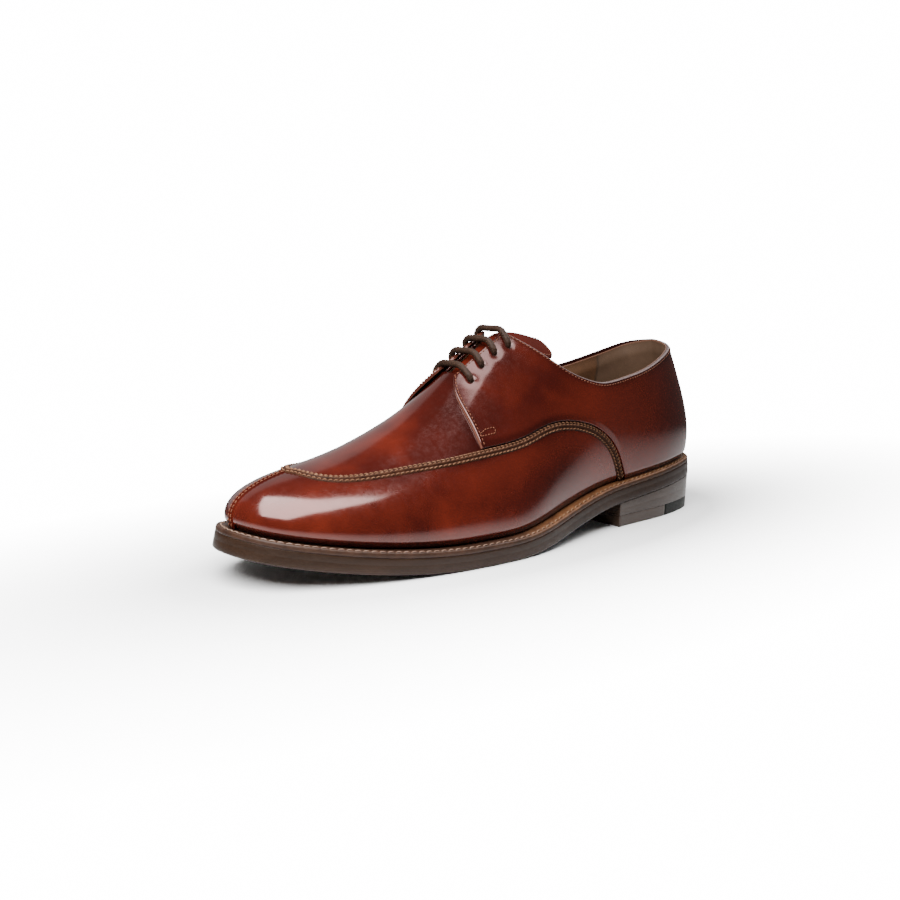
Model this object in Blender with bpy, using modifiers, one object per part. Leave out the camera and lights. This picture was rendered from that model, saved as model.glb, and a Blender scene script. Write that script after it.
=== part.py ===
"""Derby shoe with a raised apron seam, left foot: sole, heel, hollow upper, quarters, tongue and lace bars.

The tables are in millimetres, in shoe measure: x to the outer side, y from the heel back to the toe, z up
from the floor. to_world turns them into metres with the toe at -Y and the origin under the middle.
"""
import math

import bmesh
import bpy
import numpy as np

MM = 0.001
GAP = 0.3

# Sole: length, edge layers from the floor up, toe spring, heel
SOLE_LENGTH = 305.0
OUTSOLE_THICK = 4.7
MIDSOLE_THICK = 3.0
WELT_THICK = 2.8
WELT_BAND = 15.0
TOE_SPRING = 16.0
TOE_SPRING_POWER = 1.75
BALL_FRONT = 192.0
BALL_BACK = 172.0
BREAST = 80.0
SEAT_FRONT = 13.8
SEAT_BACK = 20.9
TOP_PIECE_THICK = 6.5
RUBBER_LENGTH = 38.0
HEEL_TAPER = 1.0
HEEL_INSET = 0.3
HEEL_ROUND = 30.0
INSOLE_THICK = 2.0
INSOLE_CLEAR = 0.6
MIDSOLE_LOW = OUTSOLE_THICK + GAP
WELT_LOW = MIDSOLE_LOW + MIDSOLE_THICK + GAP
SOLE_THICK = WELT_LOW + WELT_THICK
INSOLE_LOW = SOLE_THICK + GAP

# Upper: wall, overlays and openings
WALL = 1.6
QUARTER_THICK = 1.7
OVERLAY_GAP = 0.35
SLOT_HALF = 9.0
SLOT_END = 173.0
SLOT_ROUND = 5.0
FACING_HALF = 7.0
THROAT_TOP = 120.0
SEAM_HALF = 2.2
SEAM_HIGH = 1.1
SEAM_EDGE = 0.95
SEAM_TOP = 0.45
SEAM_CROWDING = 1.25
TOE_SEAM_START = 0.045
QUARTER_FOOT = 0.02
FRONT_CURVE = 0.02
FRONT_POWER = 5
FRONT_FADE = 0.1

# Tongue and lace
TONGUE_THICK = 1.8
TONGUE_CLEAR = 0.6
LACE_RADIUS = 1.6
LACE_ARCH = 0.5
LACE_SIDES = 2

# Counts that set how fine the solids are
UPPER_ROWS = 9
QUARTER_ROWS = 8
SEAM_POINTS = 76
TOE_SEAM_POINTS = 11
OUTLINE_POINTS = 76
PLATE_STEP = 16.0
TONGUE_COLUMNS = 9
LACE_POINTS = 11

# One row for each section, heel to toe: sole edge on both sides, then the crest of the section
SECTION_COLUMNS = ("outer_x", "outer_y", "inner_x", "inner_y", "crest_y", "crest_half")
SECTIONS = (
    ("heel_back", 0.0, 0.0, 0.0, 0.0, 25.5, 0.0),
    ("heel_corner", 19.0, 5.2, -19.3, 5.0, 29.0, 11.5),
    ("heel_round", 27.6, 20.0, -28.2, 19.0, 37.0, 18.5),
    ("heel_side", 33.0, 44.5, -33.6, 43.5, 54.0, 23.5),
    ("breast", 36.0, 81.7, -34.2, 80.0, 80.0, 26.5),
    ("waist", 43.6, 123.0, -31.5, 126.0, 122.0, 12.0),
    ("cone", 48.4, 142.0, -35.5, 146.0, 142.0, 2.5),
    ("instep", 51.3, 161.0, -42.0, 166.0, 161.0, 0.0),
    ("ball", 51.0, 194.0, -53.0, 208.0, 199.0, 0.0),
    ("joint", 45.6, 234.0, -51.0, 240.0, 235.0, 0.0),
    ("small_toe", 34.2, 271.0, -41.5, 272.0, 253.0, 0.0),
    ("toe_corner", 18.8, 296.0, -27.5, 296.0, 260.5, 0.0),
    ("toe_tip", -5.0, 305.0, -5.0, 305.0, 263.0, 0.0),
)
# How each section's two walls rise from the welt and meet the crest: lean and fall in degrees
WALL_COLUMNS = ("inset", "outer_lean", "inner_lean", "outer_rise", "inner_rise", "fall",
                "outer_reach", "inner_reach")
WALLS = (
    (4.5, 17, 17, 24, 24, 74, 30, 30),
    (4.5, 16, 16, 25, 25, 76, 30, 30),
    (4.5, 15, 15, 28, 28, 78, 31, 31),
    (4.8, 13, 13, 34, 34, 80, 30, 30),
    (5.5, 10, 14, 36, 36, 79, 36, 36),
    (6.0, 6, 22, 36, 38, 38, 24, 24),
    (6.2, 6, 21, 34, 37, 14, 17, 17),
    (6.2, 8, 18, 30, 34, 4, 18, 16),
    (6.2, 16, 16, 24, 23, 0, 30, 20),
    (6.0, 18, 18, 20, 19, 0, 30, 18),
    (5.4, 21, 22, 17, 17, 0, 24, 18),
    (5.0, 22, 22, 16, 16, 0, 20, 18),
    (5.0, 20, 20, 16, 16, 0, 20, 20),
)
SECTION_SPACING = 0.6
SHOULDER_PULL = 20.0
# Side view: y and height of the crest, y and sideways place of the crest, y and height of the topline
CREST_HEIGHT = ((0, 115), (60, 115), (100, 115.5), (122, 116), (142, 113.6), (161, 101.4), (177, 88.2),
                (199, 72.6), (225, 60.8), (250, 53.5), (270, 49.8))
CREST_SIDE = ((0, 0), (140, 0), (165, -1.5), (199, -4.5), (235, -6.0), (270, -5.0))
TOPLINE = ((-5, 104.5), (16, 102.6), (30, 97.2), (45, 92.0), (60, 88.0), (80, 84.6), (97, 83.6), (108, 86.4),
           (118, 91.0), (130, 100.2), (140, 108.0), (149, 113.2), (160, 118.0))
# How much lower the topline runs on the inner side, and how far from the middle it takes to get there
INNER_DROP = 2.0
INNER_SPAN = 22.0
# Apron seam from the welt by the heel to the toe: place along the side (heel 0, toe 1), share of the wall
APRON_SEAM = ((0.284, 0.012), (0.291, 0.065), (0.3035, 0.161), (0.323, 0.266), (0.3865, 0.39),
              (0.497, 0.374), (0.602, 0.452), (0.714, 0.587), (0.784, 0.641), (0.838, 0.713),
              (0.892, 0.825), (0.94, 0.889), (1.0, 0.916))
FRONT_AT = 0.604
# Tongue: y of each row, half its width, and for the free rows the height of its middle
TONGUE = ((184, 14, None), (178, 15, None), (173, 15, None), (168, 16, None), (160, 17, None),
          (150, 18, None), (142, 18, 110.2), (133, 18, 110.4), (124, 18, 108.8), (117, 17, 106.8),
          (114, 14, 106.0))
TONGUE_DROP = 0.034
# Lace holes: place along the side, share of the wall
LACE_HOLES = ((0.572, 0.775), (0.547, 0.790), (0.518, 0.792), (0.488, 0.790))

UPPER_PLACES = np.concatenate((np.linspace(0, 0.3, 14)[:-1], np.linspace(0.3, 0.56, 13)[:-1],
                               np.linspace(0.56, 0.61, 11)[:-1], np.linspace(0.61, 1.0, 18)))
QUARTER_FRONT = (0.42, 14)
QUARTER_DROP = (0.40, APRON_SEAM[0][0], 16)
QUARTER_REAR = np.linspace(0.27, 0.0, 13)
QUARTER_STEP = 0.008
THROAT_PLACES = (0.34, 0.66, 65)
THROAT_SHARES = (0.5, 1.0, 101)
HEEL_PLACES = (-0.32, 0.32, 61)
HEEL_CLEAR = 0.5


def spline(knots, values, period=None):
    """A cubic spline through the values, with natural ends or closed on itself."""
    k = np.asarray(knots, float)
    v = np.asarray(values, float).reshape(len(k), -1)
    if period:
        k = np.append(k, k[0] + period)
        v = np.vstack([v, v[:1]])
    last = len(k) - 1
    h = np.diff(k)
    slope = np.diff(v, axis=0) / h[:, None]
    system = np.zeros((last + 1, last + 1))
    right = np.zeros((last + 1, v.shape[1]))
    for i in range(1, last):
        system[i, i - 1:i + 2] = h[i - 1], 2 * (h[i - 1] + h[i]), h[i]
        right[i] = 6 * (slope[i] - slope[i - 1])
    system[0, 0] = 1
    system[last, last] = 1
    if period:
        system[0, last] = -1
        system[last, last] = 0
        system[last, 0] = 2 * (h[0] + h[-1])
        system[last, 1] = h[0]
        system[last, last - 1] = h[-1]
        right[last] = 6 * (slope[0] - slope[-1])
    bend = np.linalg.solve(system, right)

    def at(t, derivative=False):
        t = np.asarray(t, float)
        if period:
            t = k[0] + np.mod(t - k[0], period)
        i = np.clip(np.searchsorted(k, t, side="right") - 1, 0, last - 1)
        x = (t - k[i])[..., None]
        cubic = (bend[i + 1] - bend[i]) / (6 * h[i][..., None])
        square = bend[i] / 2
        line = slope[i] - h[i][..., None] * (2 * bend[i] + bend[i + 1]) / 6
        if derivative:
            return line + x * (2 * square + 3 * x * cubic)
        return v[i] + x * (line + x * (square + x * cubic))

    return at


sections = dict(zip(SECTION_COLUMNS, np.array([row[1:] for row in SECTIONS], float).T))
walls = dict(zip(WALL_COLUMNS, np.array(WALLS, float).T))


def spaced_knots():
    """Places of the sections from heel 0 to toe 1, by the distance between them."""
    half_width = (sections["outer_x"] - sections["inner_x"]) / 2
    middle_y = (sections["outer_y"] + sections["inner_y"]) / 2
    middle = np.column_stack([half_width, middle_y])
    steps = np.linalg.norm(np.diff(middle, axis=0), axis=1) ** SECTION_SPACING
    return np.concatenate(([0], np.cumsum(steps))) / steps.sum()


def round_the_shoe():
    """All columns as one closed spline: t 0 to 1 up the outer side, 1 to 2 back down the inner side."""
    sides = []
    for side in ("outer", "inner"):
        names = (f"{side}_x", f"{side}_y", "crest_y", "crest_half")
        wall_names = ("inset", f"{side}_lean", f"{side}_rise", "fall", f"{side}_reach")
        sides.append(np.column_stack([sections[n] for n in names] + [walls[n] for n in wall_names]))
    outer, inner = sides
    knots = spaced_knots()
    closed = np.concatenate((knots, (2 - knots)[-2:0:-1]))
    return spline(closed, np.vstack([outer, inner[-2:0:-1]]), period=2.0)


around = round_the_shoe()
crest_height = spline(*zip(*CREST_HEIGHT))
crest_side = spline(*zip(*CREST_SIDE))
topline = spline(*zip(*TOPLINE))
seam_share = spline(*zip(*APRON_SEAM, *((2 - place, share) for place, share in APRON_SEAM[-2::-1])))


def sole_bottom(y):
    """Height of the sole's underside: heel seat, waist, flat ball and toe spring."""
    y = np.asarray(y, float)
    toe = TOE_SPRING * (np.clip(y - BALL_FRONT, 0, None) / (SOLE_LENGTH - BALL_FRONT)) ** TOE_SPRING_POWER
    s = np.clip((BALL_BACK - y) / (BALL_BACK - BREAST), 0, 1)
    pitch = (SEAT_BACK - SEAT_FRONT) / BREAST
    waist = SEAT_FRONT * (3 * s**2 - 2 * s**3) + pitch * (BALL_BACK - BREAST) * (s**3 - s**2)
    seat = pitch * np.clip(BREAST - y, 0, None)
    return toe + waist + seat


def sole_point(x, y, height):
    """A point at a height over the underside, square to it."""
    x, y = np.broadcast_arrays(np.asarray(x, float), np.asarray(y, float))
    slope = sole_bottom(y + 0.5) - sole_bottom(y - 0.5)
    square = 1 / np.sqrt(1 + slope**2)
    return np.stack([x, y - height * slope * square, sole_bottom(y) + height * square], -1)


def edge(t, inset):
    """Plan points inside the sole's edge by the inset, and the outward directions there."""
    along = around(t, derivative=True)[..., :2]
    along = along / np.linalg.norm(along, axis=-1, keepdims=True)
    out = np.stack([along[..., 1], -along[..., 0]], -1)
    return around(t)[..., :2] - out * np.asarray(inset)[..., None], out


def surface(t, share):
    """The last with its leather: t runs round the shoe, share from the welt (0) to the crest (1)."""
    t, share = np.broadcast_arrays(np.asarray(t, float), np.asarray(share, float))
    crest_y, half, inset, lean, rise, fall, reach = np.moveaxis(around(t)[..., 2:], -1, 0)
    side = np.where(np.mod(t, 2) <= 1, 1.0, -1.0)
    plan, out = edge(t, inset)
    foot = sole_point(plan[..., 0], plan[..., 1], SOLE_THICK + GAP)
    lean = np.radians(lean)
    fall = np.radians(fall)
    out_x = rise * np.sin(lean) * out[..., 0]
    out_y = rise * np.sin(lean) * out[..., 1]
    wall = foot + np.stack([out_x, out_y, rise * np.cos(lean)], -1)
    crest_x = crest_side(crest_y)[..., 0] + np.clip(half, 0, None) * side
    crest = np.stack([crest_x, crest_y, crest_height(crest_y)[..., 0]], -1)
    down = foot[..., :2] - crest[..., :2] + SHOULDER_PULL * out
    down = down / np.linalg.norm(down, axis=-1, keepdims=True)
    run = reach * np.cos(fall)
    drop = run * crest_height(crest_y, derivative=True)[..., 0] * down[..., 1] - reach * np.sin(fall)
    shoulder = crest + np.stack([run * down[..., 0], run * down[..., 1], drop], -1)
    s = share[..., None]
    return (1 - s)**3 * foot + 3 * s * (1 - s)**2 * wall + 3 * s**2 * (1 - s) * shoulder + s**3 * crest


def outward(t, share):
    """Unit normals of the surface."""
    small = 0.002
    t, share = np.broadcast_arrays(np.asarray(t, float), np.asarray(share, float))
    inside = np.clip(share, small, 1 - small)
    along = surface(t + small, inside) - surface(t - small, inside)
    up = surface(t, inside + small) - surface(t, inside - small)
    square = np.cross(along, up)
    return square / np.linalg.norm(square, axis=-1, keepdims=True)


def in_leather(p, half, end, rounding):
    """True below the topline and outside the throat's slot."""
    x, y, z = np.moveaxis(p, -1, 0)
    bow = np.clip((y - (end - rounding)) / rounding, 0, 1)
    slot = np.where((y > THROAT_TOP) & (y < end), half * np.sqrt(1 - bow**2), -1.0)
    top = topline(y)[..., 0] - INNER_DROP * np.clip(-x / INNER_SPAN, 0, 1)
    return (z <= top) & (np.abs(x - crest_side(y)[..., 0]) >= slot)


def top_share(t, half=SLOT_HALF, end=SLOT_END, rounding=SLOT_ROUND):
    """The share of the wall at which each column reaches the topline, the slot or the crest."""
    steps = 200
    t = np.asarray(t, float)
    shares = np.linspace(0, 1, steps + 1)
    leather = in_leather(surface(t[:, None], shares[None]), half, end, rounding)
    whole = leather.all(axis=1)
    first = np.where(whole, steps, np.argmin(leather, axis=1))
    low = shares[np.maximum(first - 1, 0)]
    high = shares[first]
    for _ in range(30):
        middle = (low + high) / 2
        good = in_leather(surface(t, middle), half, end, rounding)
        low = np.where(good, middle, low)
        high = np.where(good, high, middle)
    return np.where(whole, 1.0, low)


def facing_share(t):
    """Top of the quarter: the topline, then the facing's edge beside the throat."""
    return top_share(t, FACING_HALF, SOLE_LENGTH, GAP)


def roof(x, y):
    """Height of the surface over a plan point near the throat, and its normal."""
    t_outer = np.linspace(*THROAT_PLACES)
    shares = np.linspace(*THROAT_SHARES)
    t = t_outer if x >= crest_side(y)[0] else 2 - t_outer
    p = surface(t[:, None], shares[None])
    i, j = np.unravel_index(np.argmin((p[..., 0] - x)**2 + (p[..., 1] - y)**2), p.shape[:2])
    place = np.array([t[i], shares[j]])
    small = 1e-4
    longest = 0.02
    for _ in range(12):
        here = surface(place[0], place[1])
        d_t = (surface(place[0] + small, place[1]) - here)[:2] / small
        d_share = (here - surface(place[0], place[1] - small))[:2] / small
        move = np.linalg.lstsq(np.column_stack([d_t, d_share]), np.array([x, y]) - here[:2], rcond=None)[0]
        place = place + np.clip(move, -longest, longest)
        place[1] = min(place[1], 1.0)
    return surface(place[0], place[1])[2], outward(place[0], place[1])


EDGE_X = around(np.linspace(0, 2, 2001))[:, 0]
SIDE_SHIFT = -(EDGE_X.max() + EDGE_X.min()) / 2


def to_world(points):
    p = np.asarray(points, float)
    return np.stack([p[..., 0] + SIDE_SHIFT, SOLE_LENGTH / 2 - p[..., 1], p[..., 2]], -1) * MM


def clear_scene():
    for item in list(bpy.data.objects):
        bpy.data.objects.remove(item, do_unlink=True)
    made = []
    for name in ("derby_shoe", "derby_shoe_helpers"):
        made.append(bpy.data.collections.new(name))
        bpy.context.scene.collection.children.link(made[-1])
    return made


def material(name, colour, roughness):
    made = bpy.data.materials.new(name)
    made.use_nodes = True
    shader = made.node_tree.nodes["Principled BSDF"]
    shader.inputs["Base Color"].default_value = (*colour, 1.0)
    shader.inputs["Roughness"].default_value = roughness
    made.diffuse_color = (*colour, 1.0)
    return made


def finish(name, bm, paint, smooth_angle=40):
    """The bmesh as a named object in the shoe's collection."""
    mesh = bpy.data.meshes.new(name)
    bm.to_mesh(mesh)
    bm.free()
    mesh.materials.append(paint)
    mesh.shade_smooth()
    mesh.set_sharp_from_angle(angle=math.radians(smooth_angle))
    made = bpy.data.objects.new(name, mesh)
    shoe.objects.link(made)
    return made


def grid_faces(bm, rows, closed=False):
    """Quads between neighbouring rows of vertices."""
    pairs = zip(rows, rows[1:] + rows[:1]) if closed else zip(rows, rows[1:])
    for left, right in pairs:
        for j in range(len(left) - 1):
            bm.faces.new((left[j], left[j + 1], right[j + 1], right[j]))


def new_rows(bm, points):
    return [[bm.verts.new(p) for p in row] for row in to_world(points)]


def sheet(name, points, thickness, paint, closed=False, offset=1.0):
    """A grid of points as a solid: an open surface with Solidify."""
    bm = bmesh.new()
    grid_faces(bm, new_rows(bm, points), closed)
    bmesh.ops.remove_doubles(bm, verts=bm.verts, dist=1e-6)
    made = finish(name, bm, paint)
    shell = made.modifiers.new("thickness", "SOLIDIFY")
    shell.thickness = thickness * MM
    shell.offset = offset
    return made


def plate(name, outline, low, high, paint):
    """A closed outline cut across at even steps and stretched between two heights of its own."""
    bm = bmesh.new()
    bm.faces.new([bm.verts.new((x, y, 0)) for x, y in outline])
    cuts = [BALL_BACK, BALL_FRONT, BREAST]
    cuts += list(np.arange(PLATE_STEP, SOLE_LENGTH, PLATE_STEP))
    for y in cuts:
        parts = bm.verts[:] + bm.edges[:] + bm.faces[:]
        bmesh.ops.bisect_plane(bm, geom=parts, dist=0.5, plane_co=(0, y, 0), plane_no=(0, 1, 0))
    bottom = bm.verts[:]
    raised = bmesh.ops.extrude_face_region(bm, geom=bm.faces[:])["geom"]
    top = [v for v in raised if isinstance(v, bmesh.types.BMVert)]
    for verts, place in ((bottom, low), (top, high)):
        for v in verts:
            v.co = to_world(place(v.co.x, v.co.y))
    bmesh.ops.recalc_face_normals(bm, faces=bm.faces)
    return finish(name, bm, paint, 30)


def whole_outline(inset):
    """The sole's plan, inside its edge by the inset, at even steps of t."""
    t = np.linspace(0, 2, OUTLINE_POINTS, endpoint=False)
    return edge(t, inset + 0 * t)[0]


def heel_outline(front, back, inset):
    """The part of the plan between two distances from the heel back."""
    t = np.linspace(*HEEL_PLACES)
    rim = edge(t, inset + 0 * t)[0]
    kept = rim[(rim[:, 1] > back + HEEL_CLEAR) & (rim[:, 1] < front - HEEL_CLEAR)]
    inner = kept[kept[:, 0] < 0]
    outer = kept[kept[:, 0] >= 0]

    def at(points, y):
        order = np.argsort(points[:, 1])
        return np.array([[np.interp(y, points[order, 1], points[order, 0]), y]])

    if back <= 0:
        return np.vstack([at(inner, front), kept, at(outer, front)])
    corners = (at(inner, back), inner[::-1], at(inner, front), at(outer, front), outer[::-1], at(outer, back))
    return np.vstack(corners)


def sole_layer(name, inset, low, high, paint):
    def place_low(x, y):
        return sole_point(x, y, low)

    def place_high(x, y):
        return sole_point(x, y, high)

    return plate(name, whole_outline(inset), place_low, place_high, paint)


def welt(low, high, paint):
    """A band round the sole, with a square section."""
    t = np.linspace(0, 2, OUTLINE_POINTS, endpoint=False)
    outer = edge(t, 0 * t)[0]
    inner = edge(t, WELT_BAND + 0 * t)[0]
    corners = ((outer, low), (outer, high), (inner, high), (inner, low), (outer, low))
    rings = np.stack([sole_point(plan[:, 0], plan[:, 1], height) for plan, height in corners], 1)
    bm = bmesh.new()
    grid_faces(bm, new_rows(bm, rings), closed=True)
    bmesh.ops.remove_doubles(bm, verts=bm.verts, dist=1e-6)
    bmesh.ops.recalc_face_normals(bm, faces=bm.faces)
    return finish("welt", bm, paint, 30)


def heel(leather, rubber):
    """Stack under the outsole, then the top piece with its rubber end, narrower towards the floor."""
    def tapered(height):
        def place(x, y):
            inwards = HEEL_TAPER * (SEAT_BACK - height) / SEAT_BACK
            centre_y = min(y, HEEL_ROUND) - HEEL_ROUND
            from_centre = math.hypot(x, centre_y)
            keep = 1 - inwards / max(from_centre, HEEL_ROUND)
            return np.array([x * keep, y - centre_y + centre_y * keep, height])
        return place

    def under_outsole(x, y):
        return np.array([x, y, sole_bottom(y) - GAP])

    stack = heel_outline(BREAST, 0, HEEL_INSET)
    plate("heel_stack", stack, tapered(TOP_PIECE_THICK + GAP), under_outsole, leather)
    front = heel_outline(BREAST, RUBBER_LENGTH + GAP, HEEL_INSET)
    plate("heel_top_piece", front, tapered(0), tapered(TOP_PIECE_THICK), leather)
    back = heel_outline(RUBBER_LENGTH, 0, HEEL_INSET)
    plate("heel_rubber", back, tapered(0), tapered(TOP_PIECE_THICK), rubber)


def insole(paint):
    """A thin plate inside the upper's foot, with a step down into the welt's ring."""
    t = np.linspace(0, 2, OUTLINE_POINTS, endpoint=False)
    inset = around(t)[:, 4] + WALL + INSOLE_CLEAR
    step = sole_layer("insole_step", WELT_BAND + GAP, WELT_LOW, INSOLE_LOW + INSOLE_THICK / 2, paint)
    made = sole_layer("insole", inset, INSOLE_LOW, INSOLE_LOW + INSOLE_THICK, paint)
    joined = made.modifiers.new("step", "BOOLEAN")
    joined.operation = "UNION"
    joined.object = step
    step.hide_render = True
    step.display_type = "WIRE"
    shoe.objects.unlink(step)
    helpers.objects.link(step)


def upper(paint):
    """Vamp and backing: the surface up to topline, slot or crest, with its wall inwards."""
    t = np.concatenate((UPPER_PLACES, (2 - UPPER_PLACES)[-2:0:-1]))
    shares = top_share(t)[:, None] * np.linspace(0, 1, UPPER_ROWS + 1)[None]
    return sheet("upper", surface(t[:, None], shares), WALL, paint, closed=True, offset=-1.0)


def seam_point(place, aside):
    """A point of the seam line, and its place moved aside on the surface by a distance."""
    t = np.asarray(place, float)
    step = 0.002
    low = np.clip(t - step, APRON_SEAM[0][0], None)
    along = surface(t + step, seam_share(t + step)[..., 0]) - surface(low, seam_share(low)[..., 0])
    along /= np.linalg.norm(along, axis=-1, keepdims=True)
    share = seam_share(t)[..., 0]
    across = np.cross(along, outward(t, share))
    d_t = (surface(t + step, share) - surface(t - step, share)) / (2 * step)
    d_share = (surface(t, share + step) - surface(t, share - step)) / (2 * step)
    moved = []
    for k in range(len(t)):
        pair = np.column_stack([d_t[k], d_share[k]])
        moved.append(np.linalg.lstsq(pair, -aside * across[k], rcond=None)[0])
    return t + np.array(moved)[:, 0], share + np.array(moved)[:, 1]


def quarter(name, inner_side, paint):
    """One quarter over the upper: seam or welt below, topline and facing above, curved front edge."""
    seam_t = np.concatenate((np.linspace(FRONT_AT, *QUARTER_FRONT), np.linspace(*QUARTER_DROP)))
    low_t, low_share = seam_point(seam_t, SEAM_HALF + 2 * GAP)
    low_t[0] = FRONT_AT
    rear = QUARTER_REAR[QUARTER_REAR < low_t.min() - QUARTER_STEP]
    low_t = np.concatenate((low_t, rear))
    low_share = np.maximum(np.concatenate((low_share, 0 * rear)), QUARTER_FOOT)
    q = np.linspace(0, 1, QUARTER_ROWS + 1)[None]
    fade = np.clip(1 - (FRONT_AT - low_t) / FRONT_FADE, 0, 1)[:, None]
    t = low_t[:, None] - FRONT_CURVE * fade * q**FRONT_POWER
    top = facing_share(t[:, -1])[:, None]
    share = low_share[:, None] + (top - low_share[:, None]) * q
    if inner_side:
        t = 2 - t
    points = surface(t, share) + OVERLAY_GAP * outward(t, share)
    return sheet(name, points if inner_side else points[::-1], QUARTER_THICK, paint)


def raised_seam(name, centre, normal, paint):
    """A low round ridge along a line on the surface."""
    along = np.gradient(centre, axis=0)
    along /= np.linalg.norm(along, axis=-1, keepdims=True)
    across = np.cross(normal, along)
    low = OVERLAY_GAP
    high = OVERLAY_GAP + SEAM_HIGH
    middle = (low + high) / 2
    section = ((-1, low), (-SEAM_EDGE, middle), (-SEAM_TOP, high),
               (SEAM_TOP, high), (SEAM_EDGE, middle), (1, low))
    rings = np.stack([centre + side * SEAM_HALF * across + lift * normal for side, lift in section], 1)
    bm = bmesh.new()
    rows = new_rows(bm, rings)
    grid_faces(bm, [row + row[:1] for row in rows])
    bm.faces.new(rows[0])
    bm.faces.new(rows[-1])
    bmesh.ops.recalc_face_normals(bm, faces=bm.faces)
    return finish(name, bm, paint)


def seams(paint):
    """The apron seam from welt to welt round the toe, and the toe seam down from its middle."""
    half = APRON_SEAM[0][0] + (1 - APRON_SEAM[0][0]) * np.linspace(0, 1, SEAM_POINTS // 2) ** SEAM_CROWDING
    t = np.concatenate((half, (2 - half)[-2::-1]))
    share = np.concatenate((seam_share(half)[:, 0], seam_share(half)[-2::-1, 0]))
    raised_seam("apron_seam", surface(t, share), outward(t, share), paint)
    down = np.linspace(APRON_SEAM[-1][1] - TOE_SEAM_START, APRON_SEAM[0][1], TOE_SEAM_POINTS)
    raised_seam("toe_seam", surface(1.0 + 0 * down, down), outward(1.0 + 0 * down, down), paint)


def tongue(paint):
    """A sheet under the facings, then free above them and leaning back."""
    across = np.linspace(-1, 1, TONGUE_COLUMNS)
    depth = WALL + TONGUE_CLEAR
    rows = []
    for y, half, middle in TONGUE:
        row = []
        for x in across * half:
            height, normal = roof(x, y)
            under = height - depth / normal[2]
            free = under if middle is None else middle - TONGUE_DROP * x**2
            row.append((x, y, min(under, free)))
        rows.append(row)
    return sheet("tongue", np.array(rows), TONGUE_THICK, paint, offset=-1.0)


def lace_bars(paint):
    """Each bar lies along both facings, clear of them, and spans the throat in a low arch."""
    lift = OVERLAY_GAP + QUARTER_THICK + GAP + LACE_RADIUS
    for number, (place, share) in enumerate(LACE_HOLES, start=1):
        shares = np.linspace(share, facing_share(np.array([place]))[0], LACE_POINTS // 2)
        outer = surface(place, shares) + lift * outward(place, shares)
        inner = surface(2 - place, shares) + lift * outward(2 - place, shares)
        top = (outer[-1] + inner[-1]) / 2
        route = np.vstack([outer, [top], inner[::-1]])
        arch = np.sin(np.linspace(0, math.pi, len(route)))
        route[:, 2] += LACE_ARCH * arch
        curve = bpy.data.curves.new(f"lace_bar_{number}", "CURVE")
        curve.dimensions = "3D"
        curve.bevel_depth = LACE_RADIUS * MM
        curve.bevel_resolution = LACE_SIDES
        curve.use_fill_caps = True
        line = curve.splines.new("POLY")
        line.points.add(len(route) - 1)
        for point, place_xyz in zip(line.points, to_world(route)):
            point.co = (*place_xyz, 1.0)
        curve.materials.append(paint)
        shoe.objects.link(bpy.data.objects.new(f"lace_bar_{number}", curve))


shoe, helpers = clear_scene()
LEATHER = material("red_brown_leather", (0.13, 0.022, 0.012), 0.25)
SEAM_LEATHER = material("seam_leather", (0.09, 0.02, 0.012), 0.4)
SOLE_LEATHER = material("sole_edge_leather", (0.045, 0.026, 0.018), 0.4)
WELT_LEATHER = material("welt_leather", (0.07, 0.03, 0.016), 0.45)
RUBBER = material("heel_rubber", (0.012, 0.014, 0.012), 0.6)
INSOLE_LEATHER = material("insole_leather", (0.42, 0.29, 0.17), 0.6)
CORD = material("lace_cord", (0.03, 0.015, 0.009), 0.55)

sole_layer("outsole", 0, 0, OUTSOLE_THICK, SOLE_LEATHER)
sole_layer("midsole", 0, MIDSOLE_LOW, MIDSOLE_LOW + MIDSOLE_THICK, SOLE_LEATHER)
welt(WELT_LOW, SOLE_THICK, WELT_LEATHER)
heel(SOLE_LEATHER, RUBBER)
insole(INSOLE_LEATHER)
upper(LEATHER)
quarter("quarter_lateral", False, LEATHER)
quarter("quarter_medial", True, LEATHER)
seams(SEAM_LEATHER)
tongue(LEATHER)
lace_bars(CORD)
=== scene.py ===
import math

import bmesh
import bpy
import numpy as np
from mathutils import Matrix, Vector


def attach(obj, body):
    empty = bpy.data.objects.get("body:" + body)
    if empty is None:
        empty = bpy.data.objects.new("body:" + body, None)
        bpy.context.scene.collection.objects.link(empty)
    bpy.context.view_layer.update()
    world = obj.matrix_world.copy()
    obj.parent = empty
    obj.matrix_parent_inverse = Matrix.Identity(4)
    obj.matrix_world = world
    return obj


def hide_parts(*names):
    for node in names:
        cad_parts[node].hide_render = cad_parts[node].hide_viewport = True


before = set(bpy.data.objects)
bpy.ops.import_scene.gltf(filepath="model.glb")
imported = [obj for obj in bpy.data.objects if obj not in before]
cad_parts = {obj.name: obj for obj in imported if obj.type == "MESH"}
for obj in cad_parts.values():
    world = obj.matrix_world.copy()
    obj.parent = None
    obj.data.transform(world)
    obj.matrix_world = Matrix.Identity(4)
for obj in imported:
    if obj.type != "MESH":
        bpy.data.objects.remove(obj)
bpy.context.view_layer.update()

MM = 0.001
GAP = 0.3

# Sole, in millimetres, as in the part's source
SOLE_LENGTH = 305.0
OUTSOLE_THICK = 4.7
MIDSOLE_THICK = 3.0
WELT_THICK = 2.8
TOE_SPRING = 16.0
TOE_SPRING_POWER = 1.75
BALL_FRONT = 192.0
BALL_BACK = 172.0
BREAST = 80.0
SEAT_FRONT = 13.8
SEAT_BACK = 20.9
TOP_PIECE_THICK = 6.5
RUBBER_LENGTH = 38.0
HEEL_TAPER = 1.0
HEEL_INSET = 0.3
HEEL_ROUND = 30.0
INSOLE_THICK = 2.0
MIDSOLE_LOW = OUTSOLE_THICK + GAP
WELT_LOW = MIDSOLE_LOW + MIDSOLE_THICK + GAP
SOLE_THICK = WELT_LOW + WELT_THICK
INSOLE_LOW = SOLE_THICK + GAP

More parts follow.
